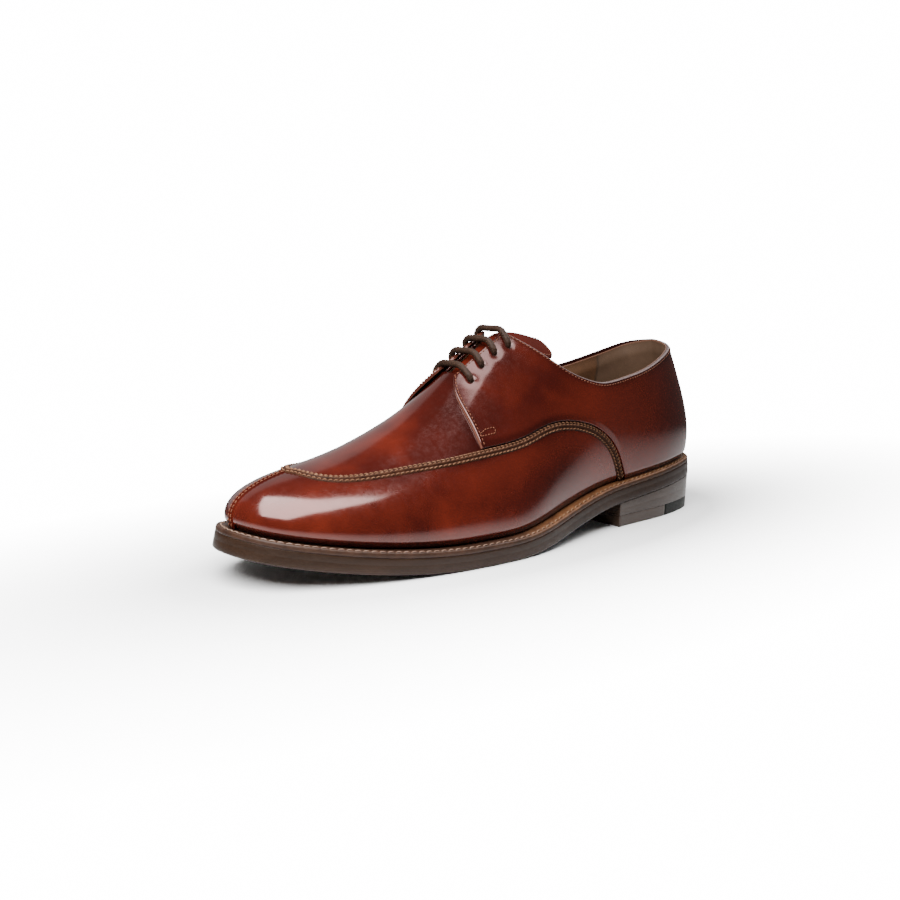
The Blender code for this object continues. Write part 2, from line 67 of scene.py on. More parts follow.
# Upper
WALL = 1.6
QUARTER_THICK = 1.7
QUARTER_BASE = 0.2
SLOT_HALF = 9.0
SLOT_END = 173.0
SLOT_ROUND = 5.0
FACING_HALF = 7.0
THROAT_TOP = 120.0
THROAT_PLACES = (0.34, 0.66)
THROAT_SHARES = (0.5, 1.0)
SEAM_HALF = 2.2
FRONT_AT = 0.604
FRONT_CURVE = 0.02
FRONT_POWER = 5
FRONT_FADE = 0.1
COLLAR_LAP = 8.0
GRIP_FRONT = 41.0
LINING_DEPTH = 1.75
LINING_THICK = 0.5
LACE_RADIUS = 1.6
LACE_ARCH = 0.5

SECTION_COLUMNS = ("outer_x", "outer_y", "inner_x", "inner_y", "crest_y", "crest_half")
SECTIONS = (
    ("heel_back", 0.0, 0.0, 0.0, 0.0, 25.5, 0.0),
    ("heel_corner", 19.0, 5.2, -19.3, 5.0, 29.0, 11.5),
    ("heel_round", 27.6, 20.0, -28.2, 19.0, 37.0, 18.5),
    ("heel_side", 33.0, 44.5, -33.6, 43.5, 54.0, 23.5),
    ("breast", 36.0, 81.7, -34.2, 80.0, 80.0, 26.5),
    ("waist", 43.6, 123.0, -31.5, 126.0, 122.0, 12.0),
    ("cone", 48.4, 142.0, -35.5, 146.0, 142.0, 2.5),
    ("instep", 51.3, 161.0, -42.0, 166.0, 161.0, 0.0),
    ("ball", 51.0, 194.0, -53.0, 208.0, 199.0, 0.0),
    ("joint", 45.6, 234.0, -51.0, 240.0, 235.0, 0.0),
    ("small_toe", 34.2, 271.0, -41.5, 272.0, 253.0, 0.0),
    ("toe_corner", 18.8, 296.0, -27.5, 296.0, 260.5, 0.0),
    ("toe_tip", -5.0, 305.0, -5.0, 305.0, 263.0, 0.0),
)
WALL_COLUMNS = ("inset", "outer_lean", "inner_lean", "outer_rise", "inner_rise", "fall",
                "outer_reach", "inner_reach")
WALLS = (
    (4.5, 17, 17, 24, 24, 74, 30, 30),
    (4.5, 16, 16, 25, 25, 76, 30, 30),
    (4.5, 15, 15, 28, 28, 78, 31, 31),
    (4.8, 13, 13, 34, 34, 80, 30, 30),
    (5.5, 10, 14, 36, 36, 79, 36, 36),
    (6.0, 6, 22, 36, 38, 38, 24, 24),
    (6.2, 6, 21, 34, 37, 14, 17, 17),
    (6.2, 8, 18, 30, 34, 4, 18, 16),
    (6.2, 16, 16, 24, 23, 0, 30, 20),
    (6.0, 18, 18, 20, 19, 0, 30, 18),
    (5.4, 21, 22, 17, 17, 0, 24, 18),
    (5.0, 22, 22, 16, 16, 0, 20, 18),
    (5.0, 20, 20, 16, 16, 0, 20, 20),
)
SECTION_SPACING = 0.6
SHOULDER_PULL = 20.0
CREST_HEIGHT = ((0, 115), (60, 115), (100, 115.5), (122, 116), (142, 113.6), (161, 101.4), (177, 88.2),
                (199, 72.6), (225, 60.8), (250, 53.5), (270, 49.8))
CREST_SIDE = ((0, 0), (140, 0), (165, -1.5), (199, -4.5), (235, -6.0), (270, -5.0))
TOPLINE = ((-5, 104.5), (16, 102.6), (30, 97.2), (45, 92.0), (60, 88.0), (80, 84.6), (97, 83.6), (108, 86.4),
           (118, 91.0), (130, 100.2), (140, 108.0), (149, 113.2), (160, 118.0))
INNER_DROP = 2.0
INNER_SPAN = 22.0
APRON_SEAM = ((0.284, 0.012), (0.291, 0.065), (0.3035, 0.161), (0.323, 0.266), (0.3865, 0.39),
              (0.497, 0.374), (0.602, 0.452), (0.714, 0.587), (0.784, 0.641), (0.838, 0.713),
              (0.892, 0.825), (0.94, 0.889), (1.0, 0.916))
TONGUE = ((184, 14, None), (178, 15, None), (173, 15, None), (168, 16, None), (160, 17, None),
          (150, 18, None), (142, 18, 110.2), (133, 18, 110.4), (124, 18, 108.8), (117, 17, 106.8),
          (114, 14, 106.0))
TONGUE_DROP = 0.034
TONGUE_DEPTH = WALL + 1.7
TONGUE_HALF_THICK = 0.95
LACE_HOLES = ((0.572, 0.775), (0.547, 0.790), (0.518, 0.792), (0.488, 0.790))

# Soft waves in the leather, listed: place, share, their two widths, height
WAVES = (
    (0.70, 0.80, 0.016, 0.20, -0.16), (0.735, 0.82, 0.016, 0.20, 0.12), (0.672, 0.86, 0.014, 0.16, 0.10),
    (0.80, 0.30, 0.030, 0.12, -0.14), (0.87, 0.40, 0.030, 0.14, 0.12), (0.66, 0.28, 0.040, 0.10, 0.15),
    (0.55, 0.20, 0.050, 0.10, -0.14), (0.45, 0.22, 0.045, 0.10, 0.12), (0.16, 0.55, 0.050, 0.16, -0.16),
    (0.25, 0.70, 0.040, 0.14, 0.16), (0.34, 0.62, 0.040, 0.12, -0.16), (0.10, 0.25, 0.040, 0.12, 0.12),
    (1.27, 0.82, 0.016, 0.20, -0.16), (1.33, 0.84, 0.016, 0.20, 0.12), (1.20, 0.30, 0.040, 0.12, -0.14),
    (1.40, 0.26, 0.045, 0.10, 0.15), (1.60, 0.25, 0.050, 0.10, -0.14), (1.75, 0.60, 0.045, 0.16, 0.16),
    (1.86, 0.50, 0.050, 0.16, -0.16),
)
# Leather tone patches, listed: y, z, their two reaches in millimetres, amount (dark above 0, warm below).
# Some are the leather's own antiqued patches; the broad warm patch at the rear (80, 64) is painted light
# where the lamps reach less, and the dark patches at the toe (262, 40) and forefoot (235, 62) are painted
# shade where the key lamp is near.
BURNISH_AND_LIGHT_PATCHES = (
    (30, 66, 30, 26, 0.40), (147, 92, 20, 16, 0.85), (128, 78, 16, 16, 0.30), (100, 66, 24, 16, -0.45),
    (165, 50, 30, 9, -0.50), (128, 40, 22, 12, 0.28), (60, 50, 20, 12, -0.1), (186, 38, 18, 10, -0.35),
    (224, 34, 18, 10, 0.35), (225, 48, 26, 9, -0.1), (262, 40, 30, 18, 0.4), (172, 74, 12, 10, 0.3),
    (10, 40, 20, 14, 0.3), (80, 64, 75, 50, -0.90), (235, 62, 40, 12, 0.35),
)


def spline(knots, values, period=None):
    """A cubic spline through the values, with natural ends or closed on itself."""
    k = np.asarray(knots, float)
    v = np.asarray(values, float).reshape(len(k), -1)
    if period:
        k = np.append(k, k[0] + period)
        v = np.vstack([v, v[:1]])
    last = len(k) - 1
    h = np.diff(k)
    slope = np.diff(v, axis=0) / h[:, None]
    system = np.zeros((last + 1, last + 1))
    right = np.zeros((last + 1, v.shape[1]))
    for i in range(1, last):
        system[i, i - 1:i + 2] = h[i - 1], 2 * (h[i - 1] + h[i]), h[i]
        right[i] = 6 * (slope[i] - slope[i - 1])
    system[0, 0] = 1
    system[last, last] = 1
    if period:
        system[0, last] = -1
        system[last, last] = 0
        system[last, 0] = 2 * (h[0] + h[-1])
        system[last, 1] = h[0]
        system[last, last - 1] = h[-1]
        right[last] = 6 * (slope[0] - slope[-1])
    bend = np.linalg.solve(system, right)

    def at(t, derivative=False):
        t = np.asarray(t, float)
        if period:
            t = k[0] + np.mod(t - k[0], period)
        i = np.clip(np.searchsorted(k, t, side="right") - 1, 0, last - 1)
        x = (t - k[i])[..., None]
        cubic = (bend[i + 1] - bend[i]) / (6 * h[i][..., None])
        square = bend[i] / 2
        line = slope[i] - h[i][..., None] * (2 * bend[i] + bend[i + 1]) / 6
        if derivative:
            return line + x * (2 * square + 3 * x * cubic)
        return v[i] + x * (line + x * (square + x * cubic))

    return at


sections = dict(zip(SECTION_COLUMNS, np.array([row[1:] for row in SECTIONS], float).T))
walls = dict(zip(WALL_COLUMNS, np.array(WALLS, float).T))


def both_sides(places):
    """Places from heel to toe on the outer side, then back to the heel on the inner side."""
    return np.concatenate((places, (2 - places)[-2:0:-1]))


def spaced_knots():
    """A place from 0 to 1 for each section, by its distance from the one before."""
    half_width = (sections["outer_x"] - sections["inner_x"]) / 2
    middle_y = (sections["outer_y"] + sections["inner_y"]) / 2
    middle = np.column_stack([half_width, middle_y])
    steps = np.linalg.norm(np.diff(middle, axis=0), axis=1) ** SECTION_SPACING
    return np.concatenate(([0], np.cumsum(steps))) / steps.sum()


def round_the_shoe():
    """All columns as one closed spline: t 0 to 1 up the outer side, 1 to 2 back down the inner side."""
    sides = []
    for side in ("outer", "inner"):
        names = (f"{side}_x", f"{side}_y", "crest_y", "crest_half")
        wall_names = ("inset", f"{side}_lean", f"{side}_rise", "fall", f"{side}_reach")
        sides.append(np.column_stack([sections[n] for n in names] + [walls[n] for n in wall_names]))
    outer, inner = sides
    return spline(both_sides(spaced_knots()), np.vstack([outer, inner[-2:0:-1]]), period=2.0)


around = round_the_shoe()
crest_height = spline(*zip(*CREST_HEIGHT))
crest_side = spline(*zip(*CREST_SIDE))
topline = spline(*zip(*TOPLINE))
seam_curve = spline(*zip(*APRON_SEAM, *((2 - place, share) for place, share in APRON_SEAM[-2::-1])))


def seam_share(t):
    """Share of the wall at the apron seam, on either side."""
    t = np.mod(np.asarray(t, float), 2)
    return seam_curve(np.where(t > 1, 2 - t, t))[..., 0]


def sole_bottom(y):
    """Height of the sole's underside: heel seat, waist, flat ball and toe spring."""
    y = np.asarray(y, float)
    toe = TOE_SPRING * (np.clip(y - BALL_FRONT, 0, None) / (SOLE_LENGTH - BALL_FRONT)) ** TOE_SPRING_POWER
    s = np.clip((BALL_BACK - y) / (BALL_BACK - BREAST), 0, 1)
    pitch = (SEAT_BACK - SEAT_FRONT) / BREAST
    waist = SEAT_FRONT * (3 * s**2 - 2 * s**3) + pitch * (BALL_BACK - BREAST) * (s**3 - s**2)
    seat = pitch * np.clip(BREAST - y, 0, None)
    return toe + waist + seat


def sole_point(x, y, height):
    """A point at a height over the underside, square to it."""
    x, y, height = np.broadcast_arrays(np.asarray(x, float), np.asarray(y, float), np.asarray(height, float))
    slope = sole_bottom(y + 0.5) - sole_bottom(y - 0.5)
    square = 1 / np.sqrt(1 + slope**2)
    return np.stack([x, y - height * slope * square, sole_bottom(y) + height * square], -1)


def unit(vectors):
    return vectors / np.linalg.norm(vectors, axis=-1, keepdims=True)


def edge(t, inset):
    """Plan points inside the sole's edge by the inset, and the outward directions there."""
    along = unit(around(t, derivative=True)[..., :2])
    out = np.stack([along[..., 1], -along[..., 0]], -1)
    return around(t)[..., :2] - out * np.asarray(inset)[..., None], out


def surface(t, share):
    """The last with its leather: t runs round the shoe, share from the welt (0) to the crest (1)."""
    t, share = np.broadcast_arrays(np.asarray(t, float), np.asarray(share, float))
    crest_y, half, inset, lean, rise, fall, reach = np.moveaxis(around(t)[..., 2:], -1, 0)
    side = np.where(np.mod(t, 2) <= 1, 1.0, -1.0)
    plan, out = edge(t, inset)
    foot = sole_point(plan[..., 0], plan[..., 1], SOLE_THICK + GAP)
    lean = np.radians(lean)
    fall = np.radians(fall)
    out_x = rise * np.sin(lean) * out[..., 0]
    out_y = rise * np.sin(lean) * out[..., 1]
    wall = foot + np.stack([out_x, out_y, rise * np.cos(lean)], -1)
    crest_x = crest_side(crest_y)[..., 0] + np.clip(half, 0, None) * side
    crest = np.stack([crest_x, crest_y, crest_height(crest_y)[..., 0]], -1)
    down = unit(foot[..., :2] - crest[..., :2] + SHOULDER_PULL * out)
    run = reach * np.cos(fall)
    drop = run * crest_height(crest_y, derivative=True)[..., 0] * down[..., 1] - reach * np.sin(fall)
    shoulder = crest + np.stack([run * down[..., 0], run * down[..., 1], drop], -1)
    s = share[..., None]
    return (1 - s)**3 * foot + 3 * s * (1 - s)**2 * wall + 3 * s**2 * (1 - s) * shoulder + s**3 * crest


def outward(t, share):
    """Unit normals of the surface."""
    small = 0.002
    t, share = np.broadcast_arrays(np.asarray(t, float), np.asarray(share, float))
    inside = np.clip(share, small, 1 - small)
    along = surface(t + small, inside) - surface(t - small, inside)
    up = surface(t, inside + small) - surface(t, inside - small)
    return unit(np.cross(along, up))


def lifted(t, share, height):
    """A point at a height over the surface."""
    return surface(t, share) + np.asarray(height)[..., None] * outward(t, share)


def in_leather(p, half, end, rounding, lower):
    """True below the topline and outside the throat's slot."""
    x, y, z = np.moveaxis(p, -1, 0)
    bow = np.clip((y - (end - rounding)) / rounding, 0, 1)
    slot = np.where((y > THROAT_TOP) & (y < end), half * np.sqrt(1 - bow**2), -1.0)
    top = topline(y)[..., 0] - INNER_DROP * np.clip(-x / INNER_SPAN, 0, 1) - lower
    return (z <= top) & (np.abs(x - crest_side(y)[..., 0]) >= slot)


def top_share(t, half=SLOT_HALF, end=SLOT_END, rounding=SLOT_ROUND, lower=0.0):
    """The share of the wall at which each column reaches the topline, the slot or the crest."""
    steps = 200
    halvings = 30
    t = np.asarray(t, float)
    shares = np.linspace(0, 1, steps + 1)
    leather = in_leather(surface(t[:, None], shares[None]), half, end, rounding, lower)
    whole = leather.all(axis=1)
    first = np.where(whole, steps, np.argmin(leather, axis=1))
    low = shares[np.maximum(first - 1, 0)]
    high = shares[first]
    for _ in range(halvings):
        middle = (low + high) / 2
        good = in_leather(surface(t, middle), half, end, rounding, lower)
        low = np.where(good, middle, low)
        high = np.where(good, high, middle)
    return np.where(whole, 1.0, low)


def roof(x, y):
    """Height of the surface over a plan point near the throat, and its normal."""
    t_outer = np.linspace(*THROAT_PLACES, 65)
    shares = np.linspace(*THROAT_SHARES, 101)
    t = t_outer if x >= crest_side(y)[0] else 2 - t_outer
    p = surface(t[:, None], shares[None])
    i, j = np.unravel_index(np.argmin((p[..., 0] - x)**2 + (p[..., 1] - y)**2), p.shape[:2])
    place = np.array([t[i], shares[j]])
    small = 1e-4
    longest = 0.02
    rounds = 12
    for _ in range(rounds):
        here = surface(place[0], place[1])
        d_t = (surface(place[0] + small, place[1]) - here)[:2] / small
        d_share = (here - surface(place[0], place[1] - small))[:2] / small
        move = np.linalg.lstsq(np.column_stack([d_t, d_share]), np.array([x, y]) - here[:2], rcond=None)[0]
        place = place + np.clip(move, -longest, longest)
        place[1] = min(place[1], 1.0)
    return surface(place[0], place[1])[2], outward(place[0], place[1])


EDGE_X = around(np.linspace(0, 2, 2001))[:, 0]
SIDE_SHIFT = -(EDGE_X.max() + EDGE_X.min()) / 2


def to_world(points):
    """Shoe measure (x outwards, y from the heel's back, millimetres) to the frame in metres."""
    p = np.asarray(points, float)
    return np.stack([p[..., 0] + SIDE_SHIFT, SOLE_LENGTH / 2 - p[..., 1], p[..., 2]], -1) * MM


# Mesh helpers, with two distances in metres

WELD = 1e-6
LEAST_EDGE = 1e-7


def piece(name, verts, faces, paint, nodes=(), tone=None, weld=False, sharp=50):
    """A mesh object from points in shoe measure, riding on the shoe's one body."""
    mesh = bpy.data.meshes.new(name)
    mesh.from_pydata(to_world(verts).tolist(), [], [tuple(f) for f in faces])
    if tone is not None:
        layer = mesh.attributes.new("tone", "FLOAT_COLOR", "POINT")
        values = np.concatenate([np.asarray(tone, float), np.ones((len(verts), 1))], 1)
        layer.data.foreach_set("color", values.ravel())
    bm = bmesh.new()
    bm.from_mesh(mesh)
    if weld:
        bmesh.ops.remove_doubles(bm, verts=bm.verts, dist=WELD)
        bmesh.ops.dissolve_degenerate(bm, edges=bm.edges, dist=LEAST_EDGE)
    bmesh.ops.recalc_face_normals(bm, faces=bm.faces)
    bm.to_mesh(mesh)
    bm.free()
    mesh.shade_smooth()
    mesh.set_sharp_from_angle(angle=math.radians(sharp))
    mesh.materials.append(paint)
    made = bpy.data.objects.new(name, mesh)
    bpy.context.scene.collection.objects.link(made)
    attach(made, "root")
    if nodes:
        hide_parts(*nodes)
    return made


def grid_quads(n, m, wrap_n=False, wrap_m=False):
    """Quads of an n by m grid of points, stored row after row."""
    i = np.arange(n if wrap_n else n - 1)[:, None]
    j = np.arange(m if wrap_m else m - 1)[None]
    a = i * m + j
    b = i * m + (j + 1) % m
    c = ((i + 1) % n) * m + (j + 1) % m
    d = ((i + 1) % n) * m + j
    return np.stack([a, b, c, d], -1).reshape(-1, 4)


def tube_faces(n, m):
    """Faces of a tube of n rings of m points, closed at both ends."""
    faces = grid_quads(n, m, wrap_m=True).tolist()
    faces.append(list(range(m))[::-1])
    faces.append(list(range((n - 1) * m, n * m)))
    return faces


def pillow(name, top, bottom, paint, nodes, tone):
    """A closed skin: two grids that share their border."""
    n, m = top.shape[:2]
    inner = np.zeros((n, m), bool)
    inner[1:-1, 1:-1] = True
    under = np.arange(n * m).reshape(n, m)
    under[inner] = n * m + np.arange(inner.sum())
    faces = grid_quads(n, m)
    below = under.reshape(-1)[faces][:, ::-1]
    verts = np.vstack([top.reshape(-1, 3), bottom[inner]])
    tones = np.vstack([tone.reshape(-1, 3), tone[inner]])
    piece(name, verts, np.vstack([faces, below]), paint, nodes, tones)


def wall(name, points, paint, slot, nodes, tone, thickness):
    """A grid of points closed round the shoe, with its thickness inwards."""
    n, m = points.shape[:2]
    made = piece(name, points.reshape(-1, 3), grid_quads(n, m, wrap_n=True), paint, nodes,
                 tone.reshape(-1, 3), weld=True)
    shell = made.modifiers.new("wall", "SOLIDIFY")
    shell.thickness = thickness * MM
    shell.offset = -1.0


def toned(first, second=0.0, third=0.0):
    """Three tones for each point of a grid."""
    return np.stack(np.broadcast_arrays(first, second, third), -1)


def stepped(spans, end):
    """Even steps through spans of (start, number of points), each up to the next start."""
    stops = [start for start, _ in spans[1:]] + [end]
    parts = [np.linspace(start, stop, count)[:-1] for (start, count), stop in zip(spans, stops)]
    return np.concatenate(parts + [[end]])


def run_length(points, axis=0):
    """Distance run along one axis of a grid of points."""
    steps = np.linalg.norm(np.diff(points, axis=axis), axis=-1)
    pad = [(0, 0)] * steps.ndim
    pad[axis] = (1, 0)
    return np.pad(np.cumsum(steps, axis=axis), pad)


def grid_normals(points):
    """Unit normals of a grid of points, safe where its points meet."""
    least = 1e-9
    square = np.cross(np.gradient(points, axis=0), np.gradient(points, axis=1))
    return square / np.maximum(np.linalg.norm(square, axis=-1, keepdims=True), least)


def rounded(distance, radius):
    """Quarter round: 0 at the border, 1 from the radius on."""
    s = np.clip(distance / radius, 0, 1)
    return np.sqrt(np.clip(1 - (1 - s)**2, 0, 1))


def smooth(x):
    """A soft step from 0 to 1."""
    x = np.clip(x, 0, 1)
    return x * x * (3 - 2 * x)


def bell(distance, reach):
    """1 at no distance, falling off over the reach."""
    return np.exp(-(distance / reach)**2)


def resample(path, step, *extra):
    """The path at even steps, with other values carried along."""
    run = run_length(path)
    count = max(int(round(run[-1] / step)), 2)
    at = np.linspace(0, run[-1], count + 1)
    out = []
    for values in (path, *extra):
        values = np.asarray(values, float)
        flat = values.reshape(len(path), -1)
        out.append(np.column_stack([np.interp(at, run, flat[:, k]) for k in range(flat.shape[1])]))
    return out


STITCH_SIDES = 6
STITCH_STEPS = 8
# Along one stitch: place in its length, then height and thickness in radii
STITCH_SHAPE = ((-0.5, -1.3, 0.6), (-0.42, -0.3, 0.9), (-0.2, 0.75, 1.0),
                (0.2, 0.75, 1.0), (0.42, -0.3, 0.9), (0.5, -1.3, 0.6))


def stitch_row(path, normal, stitch, lift, slant=0.0, aside=0.0):
    """A row of stitches of (pitch, length, radius): short cords that dip in at both ends."""
    pitch, length, radius = stitch
    spots, square = resample(path, pitch / STITCH_STEPS, normal)
    along = unit(np.gradient(spots, axis=0))
    square = unit(square)
    across = unit(np.cross(square, along))
    half = STITCH_STEPS // 2
    pick = np.arange(half, len(spots) - half, STITCH_STEPS)
    centre = spots[pick] + aside * across[pick]
    turn = math.radians(slant)
    line = math.cos(turn) * along[pick] + math.sin(turn) * across[pick]
    up = square[pick]
    flat = np.cross(up, line)
    angle = np.linspace(0, 2 * math.pi, STITCH_SIDES, endpoint=False)[:, None, None]
    ring = np.cos(angle) * flat[None] + np.sin(angle) * up[None]
    rows = []
    for place, height, size in STITCH_SHAPE:
        middle = centre + place * length * line + (height * radius + lift) * up
        rows.append(middle[None] + size * radius * ring)
    verts = np.stack(rows).transpose(2, 0, 1, 3)
    one = tube_faces(len(STITCH_SHAPE), STITCH_SIDES)
    per = len(STITCH_SHAPE) * STITCH_SIDES
    faces = [[k + per * number for k in face] for number in range(len(centre)) for face in one]
    return verts.reshape(-1, 3), faces


def join(*parts):
    """Several sets of points and faces as one."""
    verts = []
    faces = []
    start = 0
    for points, quads in parts:
        verts.append(points)
        faces += [[start + k for k in face] for face in quads]
        start += len(points)
    return np.vstack(verts), faces


def swept(path, normal, profile):
    """A profile of (aside, height) pairs carried along a path on the surface."""
    across = unit(np.cross(normal, unit(np.gradient(path, axis=0))))
    rings = np.stack([path + aside * across + height * normal for aside, height in profile], 1)
    return rings.reshape(-1, 3), tube_faces(*rings.shape[:2])


# Materials

class Paint:
    """A Principled material whose nodes are added by short calls."""

    def __init__(self, name, **constants):
        self.material = bpy.data.materials.new(name)
        self.material.use_nodes = True
        self.tree = self.material.node_tree
        self.shader = self.tree.nodes["Principled BSDF"]
        for key, value in constants.items():
            self.shader.inputs[key.replace("_", " ")].default_value = value
        self.place = self.add("ShaderNodeTexCoord").outputs["Object"]

    def add(self, kind, **settings):
        made = self.tree.nodes.new(kind)
        for key, value in settings.items():
            setattr(made, key, value)
        return made

    def link(self, source, target):
        self.tree.links.new(source, target)

    def noise(self, scale, detail=3.0, rough=0.5, stretch=None):
        made = self.add("ShaderNodeTexNoise")
        made.inputs["Scale"].default_value = scale
        made.inputs["Detail"].default_value = detail
        made.inputs["Roughness"].default_value = rough
        place = self.place
        if stretch:
            mapping = self.add("ShaderNodeMapping")
            mapping.inputs["Scale"].default_value = stretch
            self.link(place, mapping.inputs["Vector"])
            place = mapping.outputs["Vector"]
        self.link(place, made.inputs["Vector"])
        return made.outputs["Fac"]

    def ramp(self, value, stops):
        made = self.add("ShaderNodeValToRGB")
        points = made.color_ramp.elements
        while len(points) < len(stops):
            points.new(0.5)
        for point, (at, colour) in zip(points, stops):
            point.position = at
            point.color = (*colour, 1.0)
        self.link(value, made.inputs["Fac"])
        return made.outputs["Color"]

    def span(self, value, low, high, to_low=0.0, to_high=1.0):
        made = self.add("ShaderNodeMapRange")
        for key, number in (("From Min", low), ("From Max", high), ("To Min", to_low), ("To Max", to_high)):
            made.inputs[key].default_value = number
        self.link(value, made.inputs["Value"])
        return made.outputs["Result"]

    def blend(self, amount, base, over):
        """One colour over another, which is a socket or three numbers."""
        made = self.add("ShaderNodeMix", data_type="RGBA")
        self.link(amount, made.inputs[0])
        self.link(base, made.inputs[6])
        if hasattr(over, "node"):
            self.link(over, made.inputs[7])
        else:
            made.inputs[7].default_value = (*over, 1.0)
        return made.outputs[2]

    def tone(self):
        """The three tones that a piece carries on its points."""
        made = self.add("ShaderNodeAttribute", attribute_name="tone")
        parts = self.add("ShaderNodeSeparateColor")
        self.link(made.outputs["Color"], parts.inputs["Color"])
        return parts.outputs

    def bump(self, *layers):
        """Height layers of (value, distance in millimetres), one bump over another."""
        normal = None
        for value, distance in layers:
            made = self.add("ShaderNodeBump")
            made.inputs["Strength"].default_value = 1.0
            made.inputs["Distance"].default_value = distance * MM
            self.link(value, made.inputs["Height"])
            if normal:
                self.link(normal, made.inputs["Normal"])
            normal = made.outputs["Normal"]
        self.link(normal, self.shader.inputs["Normal"])

    def colour(self, value):
        self.link(value, self.shader.inputs["Base Color"])

    def rough(self, value):
        self.link(value, self.shader.inputs["Roughness"])


LEATHER_DARK = (0.0105, 0.0013, 0.0009)
LEATHER_MID = (0.0238, 0.0026, 0.0015)
LEATHER_WARM = (0.065, 0.0078, 0.0036)
LEATHER_EDGE = (0.105, 0.041, 0.027)
# Painted shade inside the lace holes
LEATHER_HOLE_SHADE = (0.004, 0.002, 0.0015)
LEATHER_SHINE = (1.0, 0.68, 0.64, 1.0)
# Noise scales, per metre
MOTTLE = 24.0
SPOTS = 140.0
GRAIN = 420.0
PORES = 1900.0
# Leather is rougher where its tone lies over this
SMOOTH_TONE = 0.88
DULL_ROUGH = 0.40


def leather(name, gloss=0.14, ior=1.52):
    """Polished calf: mottled red-brown, darker or warmer where the tone says (antiqued patches, painted light
    and painted shade), with fine pores.
    """
    p = Paint(name, IOR=ior, Specular_Tint=LEATHER_SHINE)
    tone = p.tone()
    base = p.ramp(p.noise(MOTTLE), ((0.28, LEATHER_DARK), (0.5, LEATHER_MID), (0.72, LEATHER_WARM)))
    base = p.blend(p.span(p.noise(SPOTS, rough=0.6), 0.35, 0.75, 0.0, 0.35), base, LEATHER_MID)
    # The tone darkens or warms the leather: its antiqued patches, with painted light and painted shade.
    base = p.blend(p.span(tone[0], 0.5, 1.0, 0.0, 0.85), base, LEATHER_DARK)
    base = p.blend(p.span(tone[0], 0.5, 0.0, 0.0, 0.8), base, LEATHER_WARM)
    base = p.blend(tone[1], base, LEATHER_EDGE)
    p.colour(p.blend(tone[2], base, LEATHER_HOLE_SHADE))
    grain = p.noise(GRAIN, rough=0.55)
    rough = p.add("ShaderNodeMath", operation="ADD")
    p.link(p.span(grain, 0.3, 0.7, gloss - 0.02, gloss + 0.05), rough.inputs[0])
    p.link(p.span(tone[0], SMOOTH_TONE, 1.0, 0.0, DULL_ROUGH), rough.inputs[1])
    p.rough(rough.outputs["Value"])
    p.bump((grain, 0.005), (p.noise(PORES, 2.0), 0.003))
    return p.material


# Detail and roughness of the noise in plainer surfaces
COARSE = (4.0, 0.6)
# Stretch of the noise along the layers of sole and heel
LAYERS = (1.0, 1.0, 5.0)


def stops(*colours):
    """Places on a ramp for two or three colours."""
    places = (0.3, 0.7) if len(colours) == 2 else (0.3, 0.5, 0.72)
    return tuple(zip(places, colours))


def dull(name, colours, scale, rough, relief, relief_scale, ior, stretch=None, warm=None, swing=0.07):
    """A plainer surface: a noise for the colour, one for roughness and relief, warm colours by the tone."""
    p = Paint(name, IOR=ior)
    mottle = p.noise(scale, *COARSE, stretch)
    colour = p.ramp(mottle, stops(*colours))
    if warm:
        colour = p.blend(p.tone()[0], colour, p.ramp(mottle, stops(*warm)))
    p.colour(colour)
    fine = p.noise(relief_scale, *COARSE, stretch)
    p.rough(p.span(fine, 0.3, 0.7, rough - swing, rough + swing))
    p.bump((fine, relief))
    return p.material


UPPER_PAINT = leather("polished_leather")
SOFT_PAINT = leather("soft_leather", gloss=0.60, ior=1.06)
SEAM_PAINT = dull("seam_leather", ((0.0130, 0.0044, 0.0022), (0.032, 0.0118, 0.0060)),
                  220.0, 0.46, 0.02, 900.0, 1.12)
SOLE_PAINT = dull("sole_edge", ((0.0108, 0.0050, 0.0025), (0.0136, 0.0064, 0.0033), (0.0174, 0.0084, 0.0045)),
                  40.0, 0.40, 0.006, 220.0, 1.24, LAYERS)
HEEL_PAINT = dull("heel_edge", ((0.020, 0.0120, 0.0080), (0.025, 0.0152, 0.0104), (0.031, 0.0196, 0.0136)),
                  40.0, 0.34, 0.006, 220.0, 1.33, LAYERS)
RUBBER_PAINT = dull("heel_rubber", ((0.003, 0.0036, 0.0028), (0.007, 0.0084, 0.0066)),
                    120.0, 0.5, 0.03, 700.0, 1.18)
SOCK_PAINT = dull("sock_leather", ((0.17, 0.11, 0.06), (0.24, 0.165, 0.095)), 50.0, 0.5, 0.03, 900.0, 1.40)
TAN_THREAD = dull("tan_thread", ((0.082, 0.037, 0.020), (0.150, 0.078, 0.045)),
                  500.0, 0.6, 0.05, 2600.0, 1.15)
RED_THREAD = dull("red_tan_thread", ((0.075, 0.026, 0.015), (0.125, 0.050, 0.028)),
                  500.0, 0.55, 0.05, 2600.0, 1.15)
WELT_PAINT = dull("welt_leather", ((0.014, 0.0060, 0.0034), (0.028, 0.0125, 0.0070)),
                  170.0, 0.44, 0.05, 700.0, 1.24,
                  warm=((0.044, 0.0168, 0.0066), (0.108, 0.046, 0.0185)), swing=0.08)
WELT_THREAD = dull("welt_thread", ((0.090, 0.052, 0.035), (0.170, 0.108, 0.078)),
                   420.0, 0.6, 0.05, 2600.0, 1.35,
                   warm=((0.085, 0.040, 0.017), (0.200, 0.115, 0.060)), swing=0.08)


